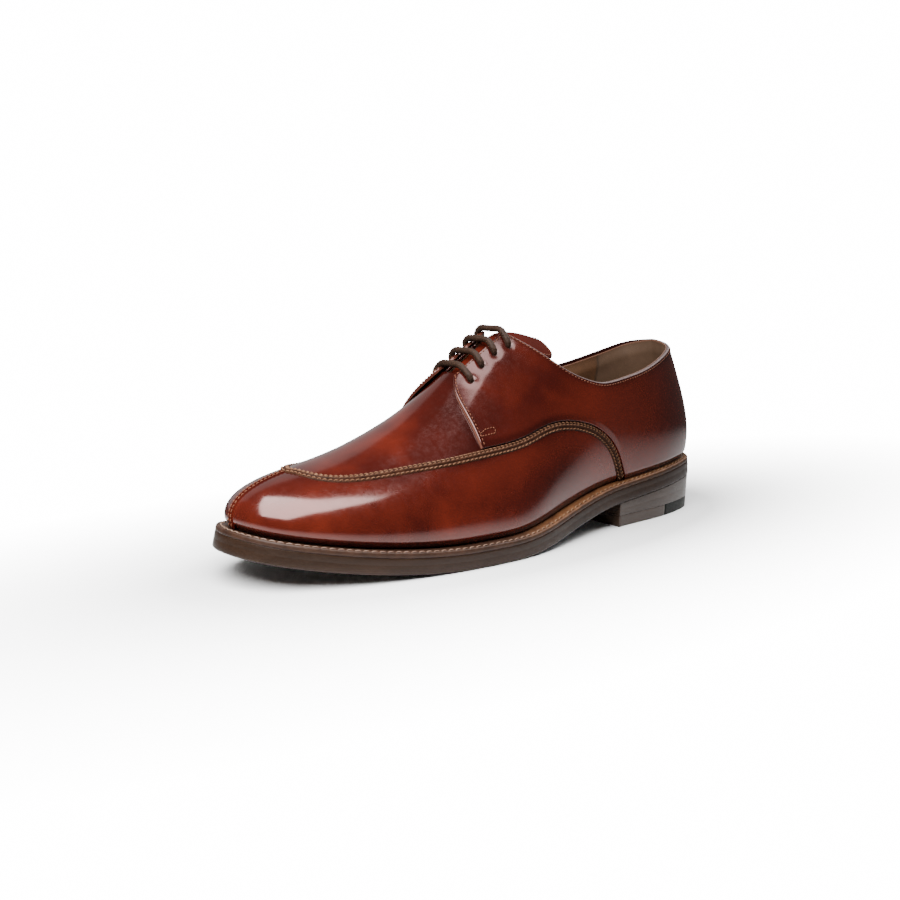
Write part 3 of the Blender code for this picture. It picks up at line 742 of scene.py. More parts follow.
def lining_paint():
    """Brown in front, grey-beige round the heel, with a dark seam between and a pale rim."""
    p = Paint("lining", IOR=1.35)
    tone = p.tone()
    mottle = p.noise(55.0, *COARSE)
    rear = p.ramp(mottle, stops((0.050, 0.026, 0.0140), (0.082, 0.046, 0.0270)))
    front = p.ramp(mottle, stops((0.048, 0.0195, 0.0072), (0.082, 0.035, 0.0140)))
    base = p.blend(tone[0], rear, front)
    base = p.blend(tone[1], base, (0.022, 0.013, 0.007))
    p.colour(p.blend(tone[2], base, (0.100, 0.044, 0.025)))
    fine = p.noise(800.0, *COARSE)
    p.rough(p.span(fine, 0.3, 0.7, 0.62, 0.80))
    p.bump((fine, 0.05))
    return p.material


def lace_paint():
    """Waxed round cord: dark brown with fine lighter fibres."""
    p = Paint("lace_cord", IOR=1.2)
    fibres = p.noise(1500.0, rough=0.6)
    p.colour(p.ramp(fibres, ((0.3, (0.0065, 0.0028, 0.0014)), (0.55, (0.0165, 0.0076, 0.0041)),
                             (0.8, (0.046, 0.0235, 0.0140)))))
    p.rough(p.span(fibres, 0.3, 0.7, 0.5, 0.7))
    p.bump((fibres, 0.05))
    return p.material


LINING_PAINT = lining_paint()
LACE_PAINT = lace_paint()


# Upper: lengths in millimetres, tones from 0 to 1

MM_PER_SHARE = 60
MM_PER_PLACE = 340
CREST_FADE = 0.30
CREST_ROWS = 16
CREST_PASSES = 14
TOE_KEPT = 0.06
TOE_KEPT_FADE = 0.12
TUCK_REACH = 4.0
TUCK_DEPTH = 1.1
UPPER_PLACES = ((0, 120), (0.56, 26), (0.62, 130))
UPPER_ROWS = 64
GROOVE_REACH = 3.2
GROOVE_TONE = 0.22
SHADOW_REACH = 5.0
SHADOW_TONE = 0.45
SHADOW_FOOT = 0.4
SHADOW_FADE = 0.1
FRONT_FOOT = 0.45
FRONT_SPAN = 0.4
# The upper's lowest few millimetres above the welt are painted darker: painted shade where the leather tucks
# in, and a painted reflection of the dark welt.
WELT_CREASE_REACH = 4.5
WELT_CREASE_SHADE = 0.5


def waves(t, share):
    """Soft troughs and ridges that new leather keeps from the last."""
    total = np.zeros(np.broadcast(t, share).shape)
    for place, level, wide, tall, height in WAVES:
        away = np.mod(t - place + 1, 2) - 1
        total = total + height * bell(away, wide) * bell(share - level, tall)
    return total * smooth((1 - share) / CREST_FADE)


def burnish_and_painted_light(points):
    """Tone of the leather at a point: 0.5 plain, above darker, below warmer; antiqued patches with painted
    light and painted shade among them.
    """
    total = np.zeros(points.shape[:-1])
    for at_y, at_z, wide, tall, amount in BURNISH_AND_LIGHT_PATCHES:
        total = total + amount * bell(points[..., 1] - at_y, wide) * bell(points[..., 2] - at_z, tall)
    return np.clip(0.5 + 0.5 * total, 0, 1)


def rounded_crest(points, t, top):
    """The skin with both sides joined at the vamp's crest, and evened out across it."""
    other = -np.arange(len(t)) % len(t)
    whole = (top == 1.0) & (top[other] == 1.0)
    out = points.copy()
    out[whole, -1] = (points[whole, -1] + points[other][whole, -1]) / 2
    strip = np.concatenate((out[:, -CREST_ROWS:], out[other][:, -2:-CREST_ROWS - 1:-1]), 1)
    for _ in range(CREST_PASSES):
        strip[:, 1:-1] = (strip[:, :-2] + 2 * strip[:, 1:-1] + strip[:, 2:]) / 4
    amount = smooth((np.abs(t - 1) - TOE_KEPT) / TOE_KEPT_FADE) * whole
    amount = amount[:, None] * smooth(np.linspace(0, 1, CREST_ROWS))[None]
    out[:, -CREST_ROWS:] += amount[..., None] * (strip[:, :CREST_ROWS] - out[:, -CREST_ROWS:])
    return out


def upper_skin():
    """Vamp and side walls: from the welt to the crest, stopping under the quarters' collar."""
    t = both_sides(stepped(UPPER_PLACES, 1))
    top = top_share(t, lower=COLLAR_LAP)
    share = top[:, None] * np.linspace(0, 1, UPPER_ROWS)[None]
    up = run_length(surface(t[:, None], share), axis=1)
    tuck = TUCK_DEPTH * smooth(1 - up / TUCK_REACH)
    points = lifted(t[:, None], share, waves(t[:, None], share) - tuck)
    points = rounded_crest(points, t, top)
    from_seam = np.abs(share - seam_share(t)[:, None]) * MM_PER_SHARE
    curve = FRONT_CURVE * np.clip((share - FRONT_FOOT) / FRONT_SPAN, 0, 1)**FRONT_POWER
    from_front = (np.abs(t - 1)[:, None] - (1 - FRONT_AT) - curve) * MM_PER_PLACE
    shadow = bell(from_front, SHADOW_REACH) * smooth((share - SHADOW_FOOT) / SHADOW_FADE)
    # The tone patches here include painted light and painted shade.
    dark = burnish_and_painted_light(points) + GROOVE_TONE * bell(from_seam, GROOVE_REACH) + SHADOW_TONE * shadow
    # Painted shade and painted reflection at the foot, over the welt.
    dark = dark + WELT_CREASE_SHADE * smooth(1 - up / WELT_CREASE_REACH)
    wall("upper_skin", points, UPPER_PAINT, "upper_leather", ("upper",), toned(np.clip(dark, 0, SMOOTH_TONE)),
         WALL)


LINING_PLACES = ((0, 110), (0.45, 60), (0.66, 50))
LINING_ROWS = ((0, 26), (0.8, 26))
LINING_SLOT_HALF = SLOT_HALF + 1.5
LINING_SLOT_END = SLOT_END + 2
COLLAR_FRONT = 150
RIM_PROUD = 0.15
RIM_WIDE = 1.0
RIM_FADE = 0.5
GRIP_SEAM_REACH = 0.7
GRIP_SEAM_TONE = 0.8


def lining():
    """Inner skin: up to the quarters' edge at the collar, inside the wall elsewhere."""
    t = both_sides(stepped(LINING_PLACES, 1))
    top = top_share(t, half=LINING_SLOT_HALF, end=LINING_SLOT_END)
    share = top[:, None] * stepped(LINING_ROWS, 1)[None]
    plain = surface(t[:, None], share)
    run = run_length(plain, axis=1)
    from_top = run[:, -1:] - run
    at_collar = plain[:, -1:, 1] < COLLAR_FRONT
    depth = np.where(at_collar, LINING_DEPTH * smooth(from_top / COLLAR_LAP) - RIM_PROUD, LINING_DEPTH)
    points = lifted(t[:, None], share, -depth)
    from_grip = points[..., 1] - GRIP_FRONT
    rim = smooth((RIM_WIDE - from_top) / RIM_FADE) * at_collar
    tone = toned(smooth(from_grip + 0.5), GRIP_SEAM_TONE * bell(from_grip, GRIP_SEAM_REACH), rim)
    wall("lining", points, LINING_PAINT, "insole_leather", (), tone, LINING_THICK)


def seam_aside(place, aside):
    """The seam line moved aside on the surface by a distance, as places and shares."""
    t = np.asarray(place, float)
    step = 0.002
    low = np.clip(t - step, APRON_SEAM[0][0], None)
    along = unit(surface(t + step, seam_share(t + step)) - surface(low, seam_share(low)))
    share = seam_share(t)
    across = np.cross(along, outward(t, share))
    d_t = (surface(t + step, share) - surface(t - step, share)) / (2 * step)
    d_share = (surface(t, share + step) - surface(t, share - step)) / (2 * step)
    moved = []
    for k in range(len(t)):
        pair = np.column_stack([d_t[k], d_share[k]])
        moved.append(np.linalg.lstsq(pair, -aside * across[k], rcond=None)[0])
    return t + np.array(moved)[:, 0], share + np.array(moved)[:, 1]


# Quarters: lengths in millimetres, tones from 0 to 1

EDGE_STEPS = np.array((0.0, 0.12, 0.3, 0.55, 0.85, 1.2, 1.7, 2.3, 3.0))
QUARTER_COLUMNS = 236
QUARTER_ROWS = 72
QUARTER_COARSE = 40
SEAM_POINTS = 160
SEAM_CLEAR = 0.45
FRONT_ROUND = 0.8
TOP_ROUND = 0.9
FOOT_ROUND = 0.5
SEAM_ROLL = 0.72
SEAM_ROLL_REACH = 4.0
WELT_ROLL = 0.2
WELT_ROLL_REACH = 4.5
WELT_NEAR = 2.0
WAVE_FADE = 6
HOLE_REACH = 2.6
HOLE_DEPTH = 0.45
HOLE_RADIUS = 2.0
HOLE_FADE = 0.5
NEAR_STAND = 0.25
FAR_STAND = 1.5
STAND_REACH = 9.0
STAND_RISE = 22.0
FAR_SHIFT = (0.0, 0.01, 0.02, 0.035)
FACING_BACK = 138
FACING_LOW = 80
RAW_WIDE = 0.5
RAW_FADE = 0.3
# Share of the raw edge's pale colour on each quarter; on the far quarter it is weaker, painted shade where
# its edge stands off the vamp.
NEAR_RAW_TONE = 0.85
FAR_RAW_SHADED_TONE = 0.25
BORDER_TONE = 0.3
BORDER_REACH = 4.0
FOOT_REACH = 3.0
COLLAR_DULL = 1.5
COLLAR_DULL_FADE = 0.7


def quarter_grid():
    """Places and shares of a quarter, outer side: columns from the front edge to the heel back."""
    seam_t = np.linspace(FRONT_AT, APRON_SEAM[0][0], SEAM_POINTS)
    low_t, low_share = seam_aside(seam_t, SEAM_HALF + SEAM_CLEAR)
    low_t[0] = FRONT_AT
    order = np.argsort(low_t)
    front = FRONT_AT - EDGE_STEPS / MM_PER_PLACE
    columns = np.concatenate((front, np.linspace(front[-1], 0.0, QUARTER_COLUMNS)[1:]))
    foot = np.interp(columns, low_t[order], low_share[order], left=0.0)
    foot = np.where(columns < low_t.min(), 0.0, np.maximum(foot, 0.0))[:, None]
    fade = np.clip(1 - (FRONT_AT - columns) / FRONT_FADE, 0, 1)[:, None]

    def place(part):
        return columns[:, None] - FRONT_CURVE * fade * part**FRONT_POWER

    coarse = np.linspace(0, 1, QUARTER_COARSE)
    t = place(coarse[None])
    top = top_share(t[:, -1], FACING_HALF, SOLE_LENGTH, GAP)[:, None]
    run = run_length(surface(t, foot + (top - foot) * coarse[None]), axis=1)
    whole = run[:, -1:]
    ends = EDGE_STEPS[None]
    middle = np.linspace(0, 1, QUARTER_ROWS - 2 * len(EDGE_STEPS) + 2)[None, 1:-1]
    inside = ends[:, -1:] + middle * (whole - 2 * ends[:, -1:])
    wanted = np.concatenate((ends + 0 * whole, inside, whole - ends[:, ::-1]), 1)
    part = np.stack([np.interp(row, length, coarse) for row, length in zip(wanted, run)])
    return place(part), foot + (top - foot) * part


QUARTER_T, QUARTER_SHARE = quarter_grid()


def quarter_height(points, from_front, from_top, from_foot, holes):
    """Height of a quarter's skin over its base, and the painted shade of its lace holes: round edges, a roll
    at the foot, dimples.
    """
    body = np.minimum(rounded(from_front, FRONT_ROUND), rounded(from_top, TOP_ROUND))
    at_welt = points[:, :1, 2] < sole_bottom(points[:, :1, 1]) + SOLE_THICK + WELT_NEAR
    start = np.where(at_welt, WELT_ROLL, SEAM_ROLL)
    roll = start + (1 - start) * smooth(from_foot / np.where(at_welt, WELT_ROLL_REACH, SEAM_ROLL_REACH))
    body = body * np.minimum(rounded(from_foot, FOOT_ROUND), roll)
    height = QUARTER_THICK * body
    hole = np.zeros(height.shape)
    for centre in holes:
        away = np.linalg.norm(points - centre, axis=-1)
        height = height - HOLE_DEPTH * bell(away, HOLE_REACH) * (body > 0.5)
        # Painted shade: the leather goes dark inside each lace hole.
        hole = np.maximum(hole, smooth((HOLE_RADIUS - away) / HOLE_FADE))
    return height, hole


def quarter(name, node, inner_side):
    """One quarter over the upper. Returns its top, its normals and the distances from its borders."""
    t, share = QUARTER_T, QUARTER_SHARE
    plain = surface(t, share)
    from_foot = run_length(plain, axis=1)
    from_top = from_foot[:, -1:] - from_foot
    from_front = run_length(plain, axis=0)
    if inner_side:
        t = 2 - t
        plain = surface(t, share)
    holes = []
    for (place, level), far in zip(LACE_HOLES, FAR_SHIFT):
        holes.append(surface(2 - place, level + far) if inner_side else surface(place, level))
    height, hole = quarter_height(plain, from_front, from_top, from_foot, holes)
    height = height + (waves(t, share) - waves(t[0, 0], share[0, 0])) * rounded(from_front, WAVE_FADE)
    height[[0, -1]] = 0
    height[:, [0, -1]] = 0
    normal = outward(t, share)
    stand = FAR_STAND if inner_side else NEAR_STAND
    stand = stand * bell(from_front, STAND_REACH) * smooth(from_foot / STAND_RISE)
    base = plain + (QUARTER_BASE + stand)[..., None] * normal
    top = base + height[..., None] * normal
    facing = (plain[..., 1] > FACING_BACK) & (plain[..., 2] > FACING_LOW)
    raw = np.maximum(smooth((RAW_WIDE - from_front) / RAW_FADE),
                     smooth((RAW_WIDE - from_top) / RAW_FADE) * facing)
    raw = raw * (FAR_RAW_SHADED_TONE if inner_side else NEAR_RAW_TONE)
    border = bell(np.minimum(from_front, from_top), BORDER_REACH) + bell(from_foot, FOOT_REACH)
    # The tone patches here include painted light and painted shade.
    dark = np.clip(burnish_and_painted_light(plain) + BORDER_TONE * border, 0, SMOOTH_TONE)
    rim = smooth((COLLAR_DULL - from_top) / COLLAR_DULL_FADE) * ~facing
    tone = toned(np.clip(dark + rim, 0, 1), raw, hole)
    pillow(name, top, base, UPPER_PAINT, (node,), tone)
    return top, normal, from_front, from_top, from_foot


def inset_path(top, normal, distance, amount, axis):
    """The line at a distance from a quarter's front (axis 0) or top border (axis 1), with its normals."""
    grid = np.concatenate((top, normal, distance[..., None]), -1)
    lines = grid.transpose(1, 0, 2) if axis == 0 else grid[:, ::-1]
    found = np.array([[np.interp(amount, line[:, 6], line[:, k]) for k in range(6)] for line in lines])
    return found[:, :3], found[:, 3:]


# Stitches: pitch, length and radius, then how far they stand off the leather

EDGE_STITCH = (2.1, 1.45, 0.24)
TACK_STITCH = (1.7, 1.2, 0.24)
APRON_STITCH = (2.5, 1.9, 0.27)
TOE_STITCH = (2.3, 1.7, 0.25)
EDGE_LIFT = 0.02
APRON_LIFT = 0.06
TOE_LIFT = 0.03
EDGE_INSET = 1.9
EDGE_FOOT = 1.0
# The tack at a quarter's foot: distances back from the edge's row and up from the foot
TACK = ((0.0, 7.6), (4.2, 8.8), (8.4, 9.2), (9.2, 7.8), (8.0, 6.5), (4.2, 6.2), (0.0, 5.6))
TACK_ROW = 12


def stitches(name, rows, paint):
    verts, faces = join(*rows)
    piece(name, verts, faces, paint)


def quarter_stitches(grids):
    """The row round each quarter's front edge, facing and collar, and the tack at its foot."""
    rows = []
    for top, normal, from_front, from_top, from_foot in grids:
        front, front_n = inset_path(top, normal, from_front, EDGE_INSET, 0)
        upper, upper_n = inset_path(top, normal, from_top, EDGE_INSET, 1)
        rise = run_length(top[0])
        keep = (rise > EDGE_FOOT) & (rise < rise[-1] - EDGE_INSET)
        keep_top = run_length(upper) > EDGE_INSET
        path = np.vstack([front[keep], upper[keep_top]])
        square = np.vstack([front_n[keep], upper_n[keep_top]])
        rows.append(stitch_row(path, square, EDGE_STITCH, EDGE_LIFT))
        spots = []
        for back, up in TACK:
            i = np.argmin((from_front[:, TACK_ROW] - EDGE_INSET - back)**2)
            spots.append((i, np.argmin((from_foot[i] - up)**2)))
        i, j = np.transpose(spots)
        rows.append(stitch_row(top[i, j], normal[i, j], TACK_STITCH, EDGE_LIFT))
    stitches("quarter_stitches", rows, RED_THREAD)


SEAM_STEP = 0.9
SEAM_LINE_POINTS = 330
# One half of each seam's profile, from its foot to its middle: aside and height
SEAM_PROFILE = ((2.45, -0.15), (2.3, 0.25), (1.9, 0.5), (1.2, 0.56), (0.75, 0.42), (0.55, 0.7), (0.2, 1.02))
TOE_PROFILE = ((2.2, -0.15), (1.9, 0.2), (1.2, 0.45), (0.5, 0.5), (0.12, 0.2))
SEAM_UNDER = -0.2
# Rows of stitches on the apron seam: aside, height and slant
SEAM_ROWS = ((1.55, 0.56, 16), (0.62, 0.62, -12), (-1.55, 0.56, -16))
TOE_ROWS = (-1.1, 1.1)
TOE_ROW_HEIGHT = 0.46
TOE_SEAM_TOP = APRON_SEAM[-1][1] - 0.03
TOE_SEAM_FOOT = 0.012
TOE_SEAM_POINTS = 60
TOE_SEAM_TONE = 0.72


def both_halves(profile):
    """A profile from one half, closed underneath."""
    return (*((-aside, height) for aside, height in profile), *profile[::-1], (0.0, SEAM_UNDER))


def seams():
    """The apron seam with its bead and three rows of stitches, and the toe seam with two."""
    half = np.linspace(APRON_SEAM[0][0], 1, SEAM_LINE_POINTS)
    t = np.concatenate((half, (2 - half)[-2::-1]))
    share = np.concatenate((seam_share(half), seam_share(half)[-2::-1]))
    path, normal = resample(surface(t, share), SEAM_STEP, outward(t, share))
    normal = unit(normal)
    verts, faces = swept(path, normal, both_halves(SEAM_PROFILE))
    piece("apron_seam_ridge", verts, faces, SEAM_PAINT, ("apron_seam",))
    rows = []
    for aside, height, slant in SEAM_ROWS:
        rows.append(stitch_row(path + height * normal, normal, APRON_STITCH, APRON_LIFT, slant, aside))
    down = np.linspace(TOE_SEAM_TOP, TOE_SEAM_FOOT, TOE_SEAM_POINTS)
    path, normal = resample(surface(1.0 + 0 * down, down), SEAM_STEP, outward(1.0 + 0 * down, down))
    verts, faces = swept(path, normal, both_halves(TOE_PROFILE))
    tone = np.tile((TOE_SEAM_TONE, 0.0, 0.0), (len(verts), 1))
    piece("toe_seam_ridge", verts, faces, SOFT_PAINT, ("toe_seam",), tone)
    stitches("apron_stitches", rows, TAN_THREAD)
    rows = []
    for aside in TOE_ROWS:
        rows.append(stitch_row(path + TOE_ROW_HEIGHT * normal, normal, TOE_STITCH, TOE_LIFT, aside=aside))
    stitches("toe_stitches", rows, RED_THREAD)


TONGUE_ACROSS = 9
TONGUE_LENGTHWISE = 110
TONGUE_WIDTHWISE = 64
TONGUE_ROUND = 0.9
TONGUE_TONE = 0.35
TONGUE_EDGE_TONE = 0.2
TONGUE_EDGE_REACH = 2.0
TONGUE_INSET = 2.2
TONGUE_STITCHED_FROM = 55


def tongue():
    """A padded leaf under the facings, free at its top, with a stitched edge."""
    across = np.linspace(-1, 1, TONGUE_ACROSS)
    rows = []
    for y, half, middle in TONGUE:
        for x in across * half:
            height, normal = roof(x, y)
            under = height - TONGUE_DEPTH / normal[2]
            free = under if middle is None else middle - TONGUE_DROP * x**2
            rows.append((x, y, min(under, free)))
    rows = np.array(rows).reshape(len(TONGUE), -1)
    n, m = TONGUE_LENGTHWISE, TONGUE_WIDTHWISE
    fine = spline(np.linspace(0, 1, len(TONGUE)), rows)(np.linspace(0, 1, n)).reshape(n, TONGUE_ACROSS, 3)
    wide = spline(across, fine.transpose(1, 0, 2).reshape(TONGUE_ACROSS, -1))
    side = np.sin(np.linspace(-0.5, 0.5, m) * math.pi)
    grid = wide(side).reshape(m, n, 3).transpose(1, 0, 2)
    normal = grid_normals(grid)
    normal *= np.sign(normal[..., 2:].mean())
    down = run_length(grid, axis=0)
    left = run_length(grid, axis=1)
    right = left[:, -1:] - left
    from_edge = np.minimum(down[-1:] - down, np.minimum(left, right))
    half_thick = TONGUE_HALF_THICK * np.minimum(rounded(from_edge, TONGUE_ROUND), rounded(down, TONGUE_ROUND))
    middle = grid - TONGUE_HALF_THICK * normal
    top = middle + half_thick[..., None] * normal
    bottom = middle - half_thick[..., None] * normal
    tone = toned(TONGUE_TONE + TONGUE_EDGE_TONE * bell(from_edge, TONGUE_EDGE_REACH))
    pillow("tongue_leaf", top, bottom, SOFT_PAINT, ("tongue",), tone)
    first = np.argmin(np.abs(left - TONGUE_INSET), axis=1)
    last = np.argmin(np.abs(right - TONGUE_INSET), axis=1)
    stop = np.argmin(np.abs(down[-1, m // 2] - down[:, m // 2] - TONGUE_INSET))
    spots = [(row, first[row]) for row in range(TONGUE_STITCHED_FROM, stop)]
    spots += [(stop, column) for column in range(first[stop], last[stop] + 1)]
    spots += [(row, last[row]) for row in range(stop, TONGUE_STITCHED_FROM - 1, -1)]
    i, j = np.transpose(spots)
    stitches("tongue_stitches", [stitch_row(top[i, j], normal[i, j], EDGE_STITCH, EDGE_LIFT)], RED_THREAD)


# Lace: heights over the surface and radii in millimetres

TOP_BAR_DROP = 0.2
BAR_RADIUS = LACE_RADIUS + 0.12
# In a hole the cord is squeezed: height and radius
IN_HOLE = ((-2.4, 0.85), (0.4, 1.25))
# Out of the hole: share on from it, height
OUT_OF_HOLE = (0.012, 2.6)
# Over the facing: part of the way from the hole to its edge, height
OVER_FACING = ((0.3, 3.5), (0.62, 3.75), (1.0, 3.95))
HIDDEN_PARTS = (0.3, 0.5, 0.7)
HIDDEN_HEIGHT = -2.5
HIDDEN_RADIUS = 0.75
ROUTE_SPACING = 0.5
ROUTE_POINTS = 1500
LACE_STEP = 0.36
LACE_SIDES = 18
LACE_BLUR = 9
BRAID = 0.06
BRAID_PITCH = 2.0
BRAID_STRANDS = 3


def bar(number, from_outer):
    """One bar: up through one hole, over both facings, down through the other, with its radii."""
    place, hole_share = LACE_HOLES[number]
    facing = top_share(np.array([place]), FACING_HALF, SOLE_LENGTH, GAP)[0]
    drop = TOP_BAR_DROP if number == len(LACE_HOLES) - 1 else 0.0

    def half(t, share):
        points = [lifted(t, share, height) for height, _ in IN_HOLE]
        points.append(lifted(t, share + OUT_OF_HOLE[0], OUT_OF_HOLE[1]))
        for part, height in OVER_FACING:
            points.append(lifted(t, share + (facing - share) * part, height - drop))
        return points

    outer = half(place, hole_share)
    inner = half(2 - place, hole_share + FAR_SHIFT[number])
    top = (outer[-1] + inner[-1]) / 2
    top[2] += LACE_ARCH - drop
    route = outer + [top] + inner[::-1]
    squeezed = [radius for _, radius in IN_HOLE]
    radii = squeezed + [BAR_RADIUS] * (len(route) - 2 * len(squeezed)) + squeezed[::-1]
    return (route, radii) if from_outer else (route[::-1], radii[::-1])


def hidden(start, stop, inner_side, shift):
    """The lace under a facing, pressed flat between leather and tongue."""
    route = []
    for part in HIDDEN_PARTS:
        place = start[0] + (stop[0] - start[0]) * part
        share = start[1] + (stop[1] - start[1]) * part + shift
        route.append(lifted(2 - place if inner_side else place, share, HIDDEN_HEIGHT))
    return route, [HIDDEN_RADIUS] * len(route)


def lace():
    """One cord: four bars through the holes, joined under the facings, both ends under the top holes."""
    one, two, three, four = LACE_HOLES
    parts = [hidden(four, three, True, 0.02), bar(2, False), hidden(three, one, False, 0.05),
             bar(0, True), hidden(one, two, True, 0.0), bar(1, False), hidden(two, four, False, -0.05),
             bar(3, True)]
    route = np.array([p for points, _ in parts for p in points])
    radii = np.array([r for _, values in parts for r in values])
    steps = np.linalg.norm(np.diff(route, axis=0), axis=1) ** ROUTE_SPACING
    run = np.concatenate(([0], np.cumsum(steps)))
    at = np.linspace(0, run[-1], ROUTE_POINTS)
    path, radius = resample(spline(run, route)(at), LACE_STEP, np.interp(at, run, radii))
    blur = np.hanning(2 * LACE_BLUR + 3)[1:-1]
    blur /= blur.sum()
    padded = np.pad(path, ((LACE_BLUR, LACE_BLUR), (0, 0)), mode="edge")
    path = np.stack([np.convolve(padded[:, k], blur, mode="valid") for k in range(3)], 1)
    along = unit(np.gradient(path, axis=0))
    up = np.array((0.0, 1.0, 0.0))
    ups = []
    for direction in along:
        up = unit(up - np.dot(up, direction) * direction)
        ups.append(up)
    up = np.array(ups)
    side = np.cross(along, up)
    angle = np.linspace(0, 2 * math.pi, LACE_SIDES, endpoint=False)[None]
    turn = 2 * math.pi * run_length(path)[:, None] / BRAID_PITCH
    size = radius * (1 + BRAID * np.cos(turn + angle) * np.cos(BRAID_STRANDS * angle))
    rings = path[:, None] + (size * np.cos(angle))[..., None] * up[:, None]
    rings = rings + (size * np.sin(angle))[..., None] * side[:, None]
    nodes = [f"lace_bar_{k}" for k in range(1, len(LACE_HOLES) + 1)]
    piece("lace", rings.reshape(-1, 3), tube_faces(len(path), LACE_SIDES), LACE_PAINT, nodes)


# Sole and heel: profiles of inset and height in millimetres

SOLE_PROFILE = ((3.0, 0.0), (1.0, 0.04), (0.4, 0.22), (0.1, 0.6), (0.0, 1.2), (0.0, 2.6), (0.0, 4.5),
                (0.03, 4.75), (0.03, 4.95), (0.0, 5.2), (0.0, 7.2), (0.03, 8.0), (0.1, 8.2), (0.3, 8.25))
WELT_PROFILE = ((0.45, 8.3), (0.2, 8.4), (0.04, 8.7), (0.0, 9.4), (0.04, 10.2), (0.2, 10.7), (0.55, 11.0),
                (1.0, 11.08), (1.5, 10.98), (1.9, 10.8), (2.5, 10.76), (3.0, 10.86), (3.5, 11.06),
                (5.0, 11.12), (9.0, 11.12), (15.0, 11.1), (15.0, 8.3))
INSOLE_TOP = INSOLE_LOW + INSOLE_THICK
SOCK_PROFILE = ((0.6, INSOLE_LOW), (0.1, INSOLE_LOW + 0.3), (0.0, INSOLE_TOP - 0.5), (0.2, INSOLE_TOP - 0.1),
                (0.7, INSOLE_TOP))
PLATE_ACROSS = 26
PLATE_SHARP = 40
WELT_SHARP = 60
WELT_COLUMNS = 1050
WELT_PITCH = 4.0
WELT_STITCH_INSET = 2.2
WELT_STITCH_LENGTH = 3.3
WELT_STITCH_RADIUS = 0.30
WELT_STITCH_SLANT = -8
WELT_STITCH_HEIGHT = 10.95
NOTCH_DEPTH = 0.16
NOTCH_POWER = 4
NOTCH_INSETS = (0.1, 4)
NOTCH_LOW = 10
RIM_INSET = 0.12
RIM_HIGH = 10.5
RIM_WARM = 0.12
WARM_FRONT = 178
WARM_FADE = 50


def plate(name, profile, paint, nodes, columns, more):
    """A layer of the sole: rings up its side at the profile's insets and more, closed below and above."""
    t = np.linspace(0, 2, columns, endpoint=False)
    more = more(t)
    rings = []
    for inset, height in profile:
        plan = edge(t, inset + more)[0]
        rings.append(sole_point(plan[:, 0], plan[:, 1], height))
    parts = [(np.concatenate(rings), grid_quads(len(profile), columns, wrap_m=True).tolist())]
    half = columns // 2
    share = np.linspace(0, 1, PLATE_ACROSS)[None, :, None]
    for inset, height in (profile[0], profile[-1]):
        plan = edge(t, inset + more)[0]
        near = plan[:half + 1]
        far = plan[(columns - np.arange(half + 1)) % columns]
        inside = near[:, None] * (1 - share) + far[:, None] * share
        points = sole_point(inside[..., 0], inside[..., 1], height)
        parts.append((points.reshape(-1, 3), grid_quads(half + 1, PLATE_ACROSS).tolist()))
    verts, faces = join(*parts)
    piece(name, verts, faces, paint, nodes, weld=True, sharp=PLATE_SHARP)


def no_inset(t):
    return 0 * t


def sock_inset(t):
    """From the sole's edge to the lining's inside."""
    return around(t)[:, 4] + WALL + LINING_THICK


def warm_welt(points):
    """How orange the welt is: nothing at the forefoot, all of it from waist to heel."""
    return toned(smooth((WARM_FRONT - points[:, 1]) / WARM_FADE))


def welt():
    """The band on the sole, wheeled between its stitches, and its thread in the groove."""
    t = np.linspace(0, 2, WELT_COLUMNS, endpoint=False)
    line = edge(t, WELT_STITCH_INSET + 0 * t)[0]
    loop = np.vstack([line, line[:1]])
    run = run_length(loop)
    count = round(run[-1] / WELT_PITCH)
    notch = 0.5 + 0.5 * np.cos(2 * math.pi * run[:-1] / run[-1] * count)
    rings = []
    for inset, height in WELT_PROFILE:
        wheeled = NOTCH_INSETS[0] < inset < NOTCH_INSETS[1] and height > NOTCH_LOW
        depth = NOTCH_DEPTH * notch**NOTCH_POWER if wheeled else 0
        plan = edge(t, inset + 0 * t)[0]
        rings.append(sole_point(plan[:, 0], plan[:, 1], height - depth))
    verts = np.concatenate(rings)
    faces = grid_quads(len(WELT_PROFILE), WELT_COLUMNS, wrap_n=True, wrap_m=True)
    tone = warm_welt(verts)
    rim = [inset < RIM_INSET and height < RIM_HIGH for inset, height in WELT_PROFILE]
    tone[np.repeat(rim, WELT_COLUMNS), 0] *= RIM_WARM
    piece("welt_band", verts, faces, WELT_PAINT, ("welt",), tone, sharp=WELT_SHARP)
    row = sole_point(loop[:, 0], loop[:, 1], WELT_STITCH_HEIGHT)
    up = sole_point(loop[:, 0], loop[:, 1], WELT_STITCH_HEIGHT + 1) - row
    stitch = (run[-1] / count, WELT_STITCH_LENGTH, WELT_STITCH_RADIUS)
    verts, faces = stitch_row(row, up, stitch, 0.0, WELT_STITCH_SLANT)
    piece("welt_stitches", verts, faces, WELT_THREAD, (), warm_welt(verts))


HEEL_PLACES = 0.32
HEEL_STEP = 1.1
# Part of a block's height and inset, at its rim and round a groove
HEEL_RIM = ((0.0, 0.10), (0.012, 0.03), (0.04, 0.0))
HEEL_GROOVE = ((-0.04, 0.0), (-0.012, 0.025), (0.012, 0.025), (0.04, 0.0))
STACK_GROOVE = 0.5
STACK_GAP = 0.12
SEAT_GAP = 0.08
RUBBER_GAP = 0.1


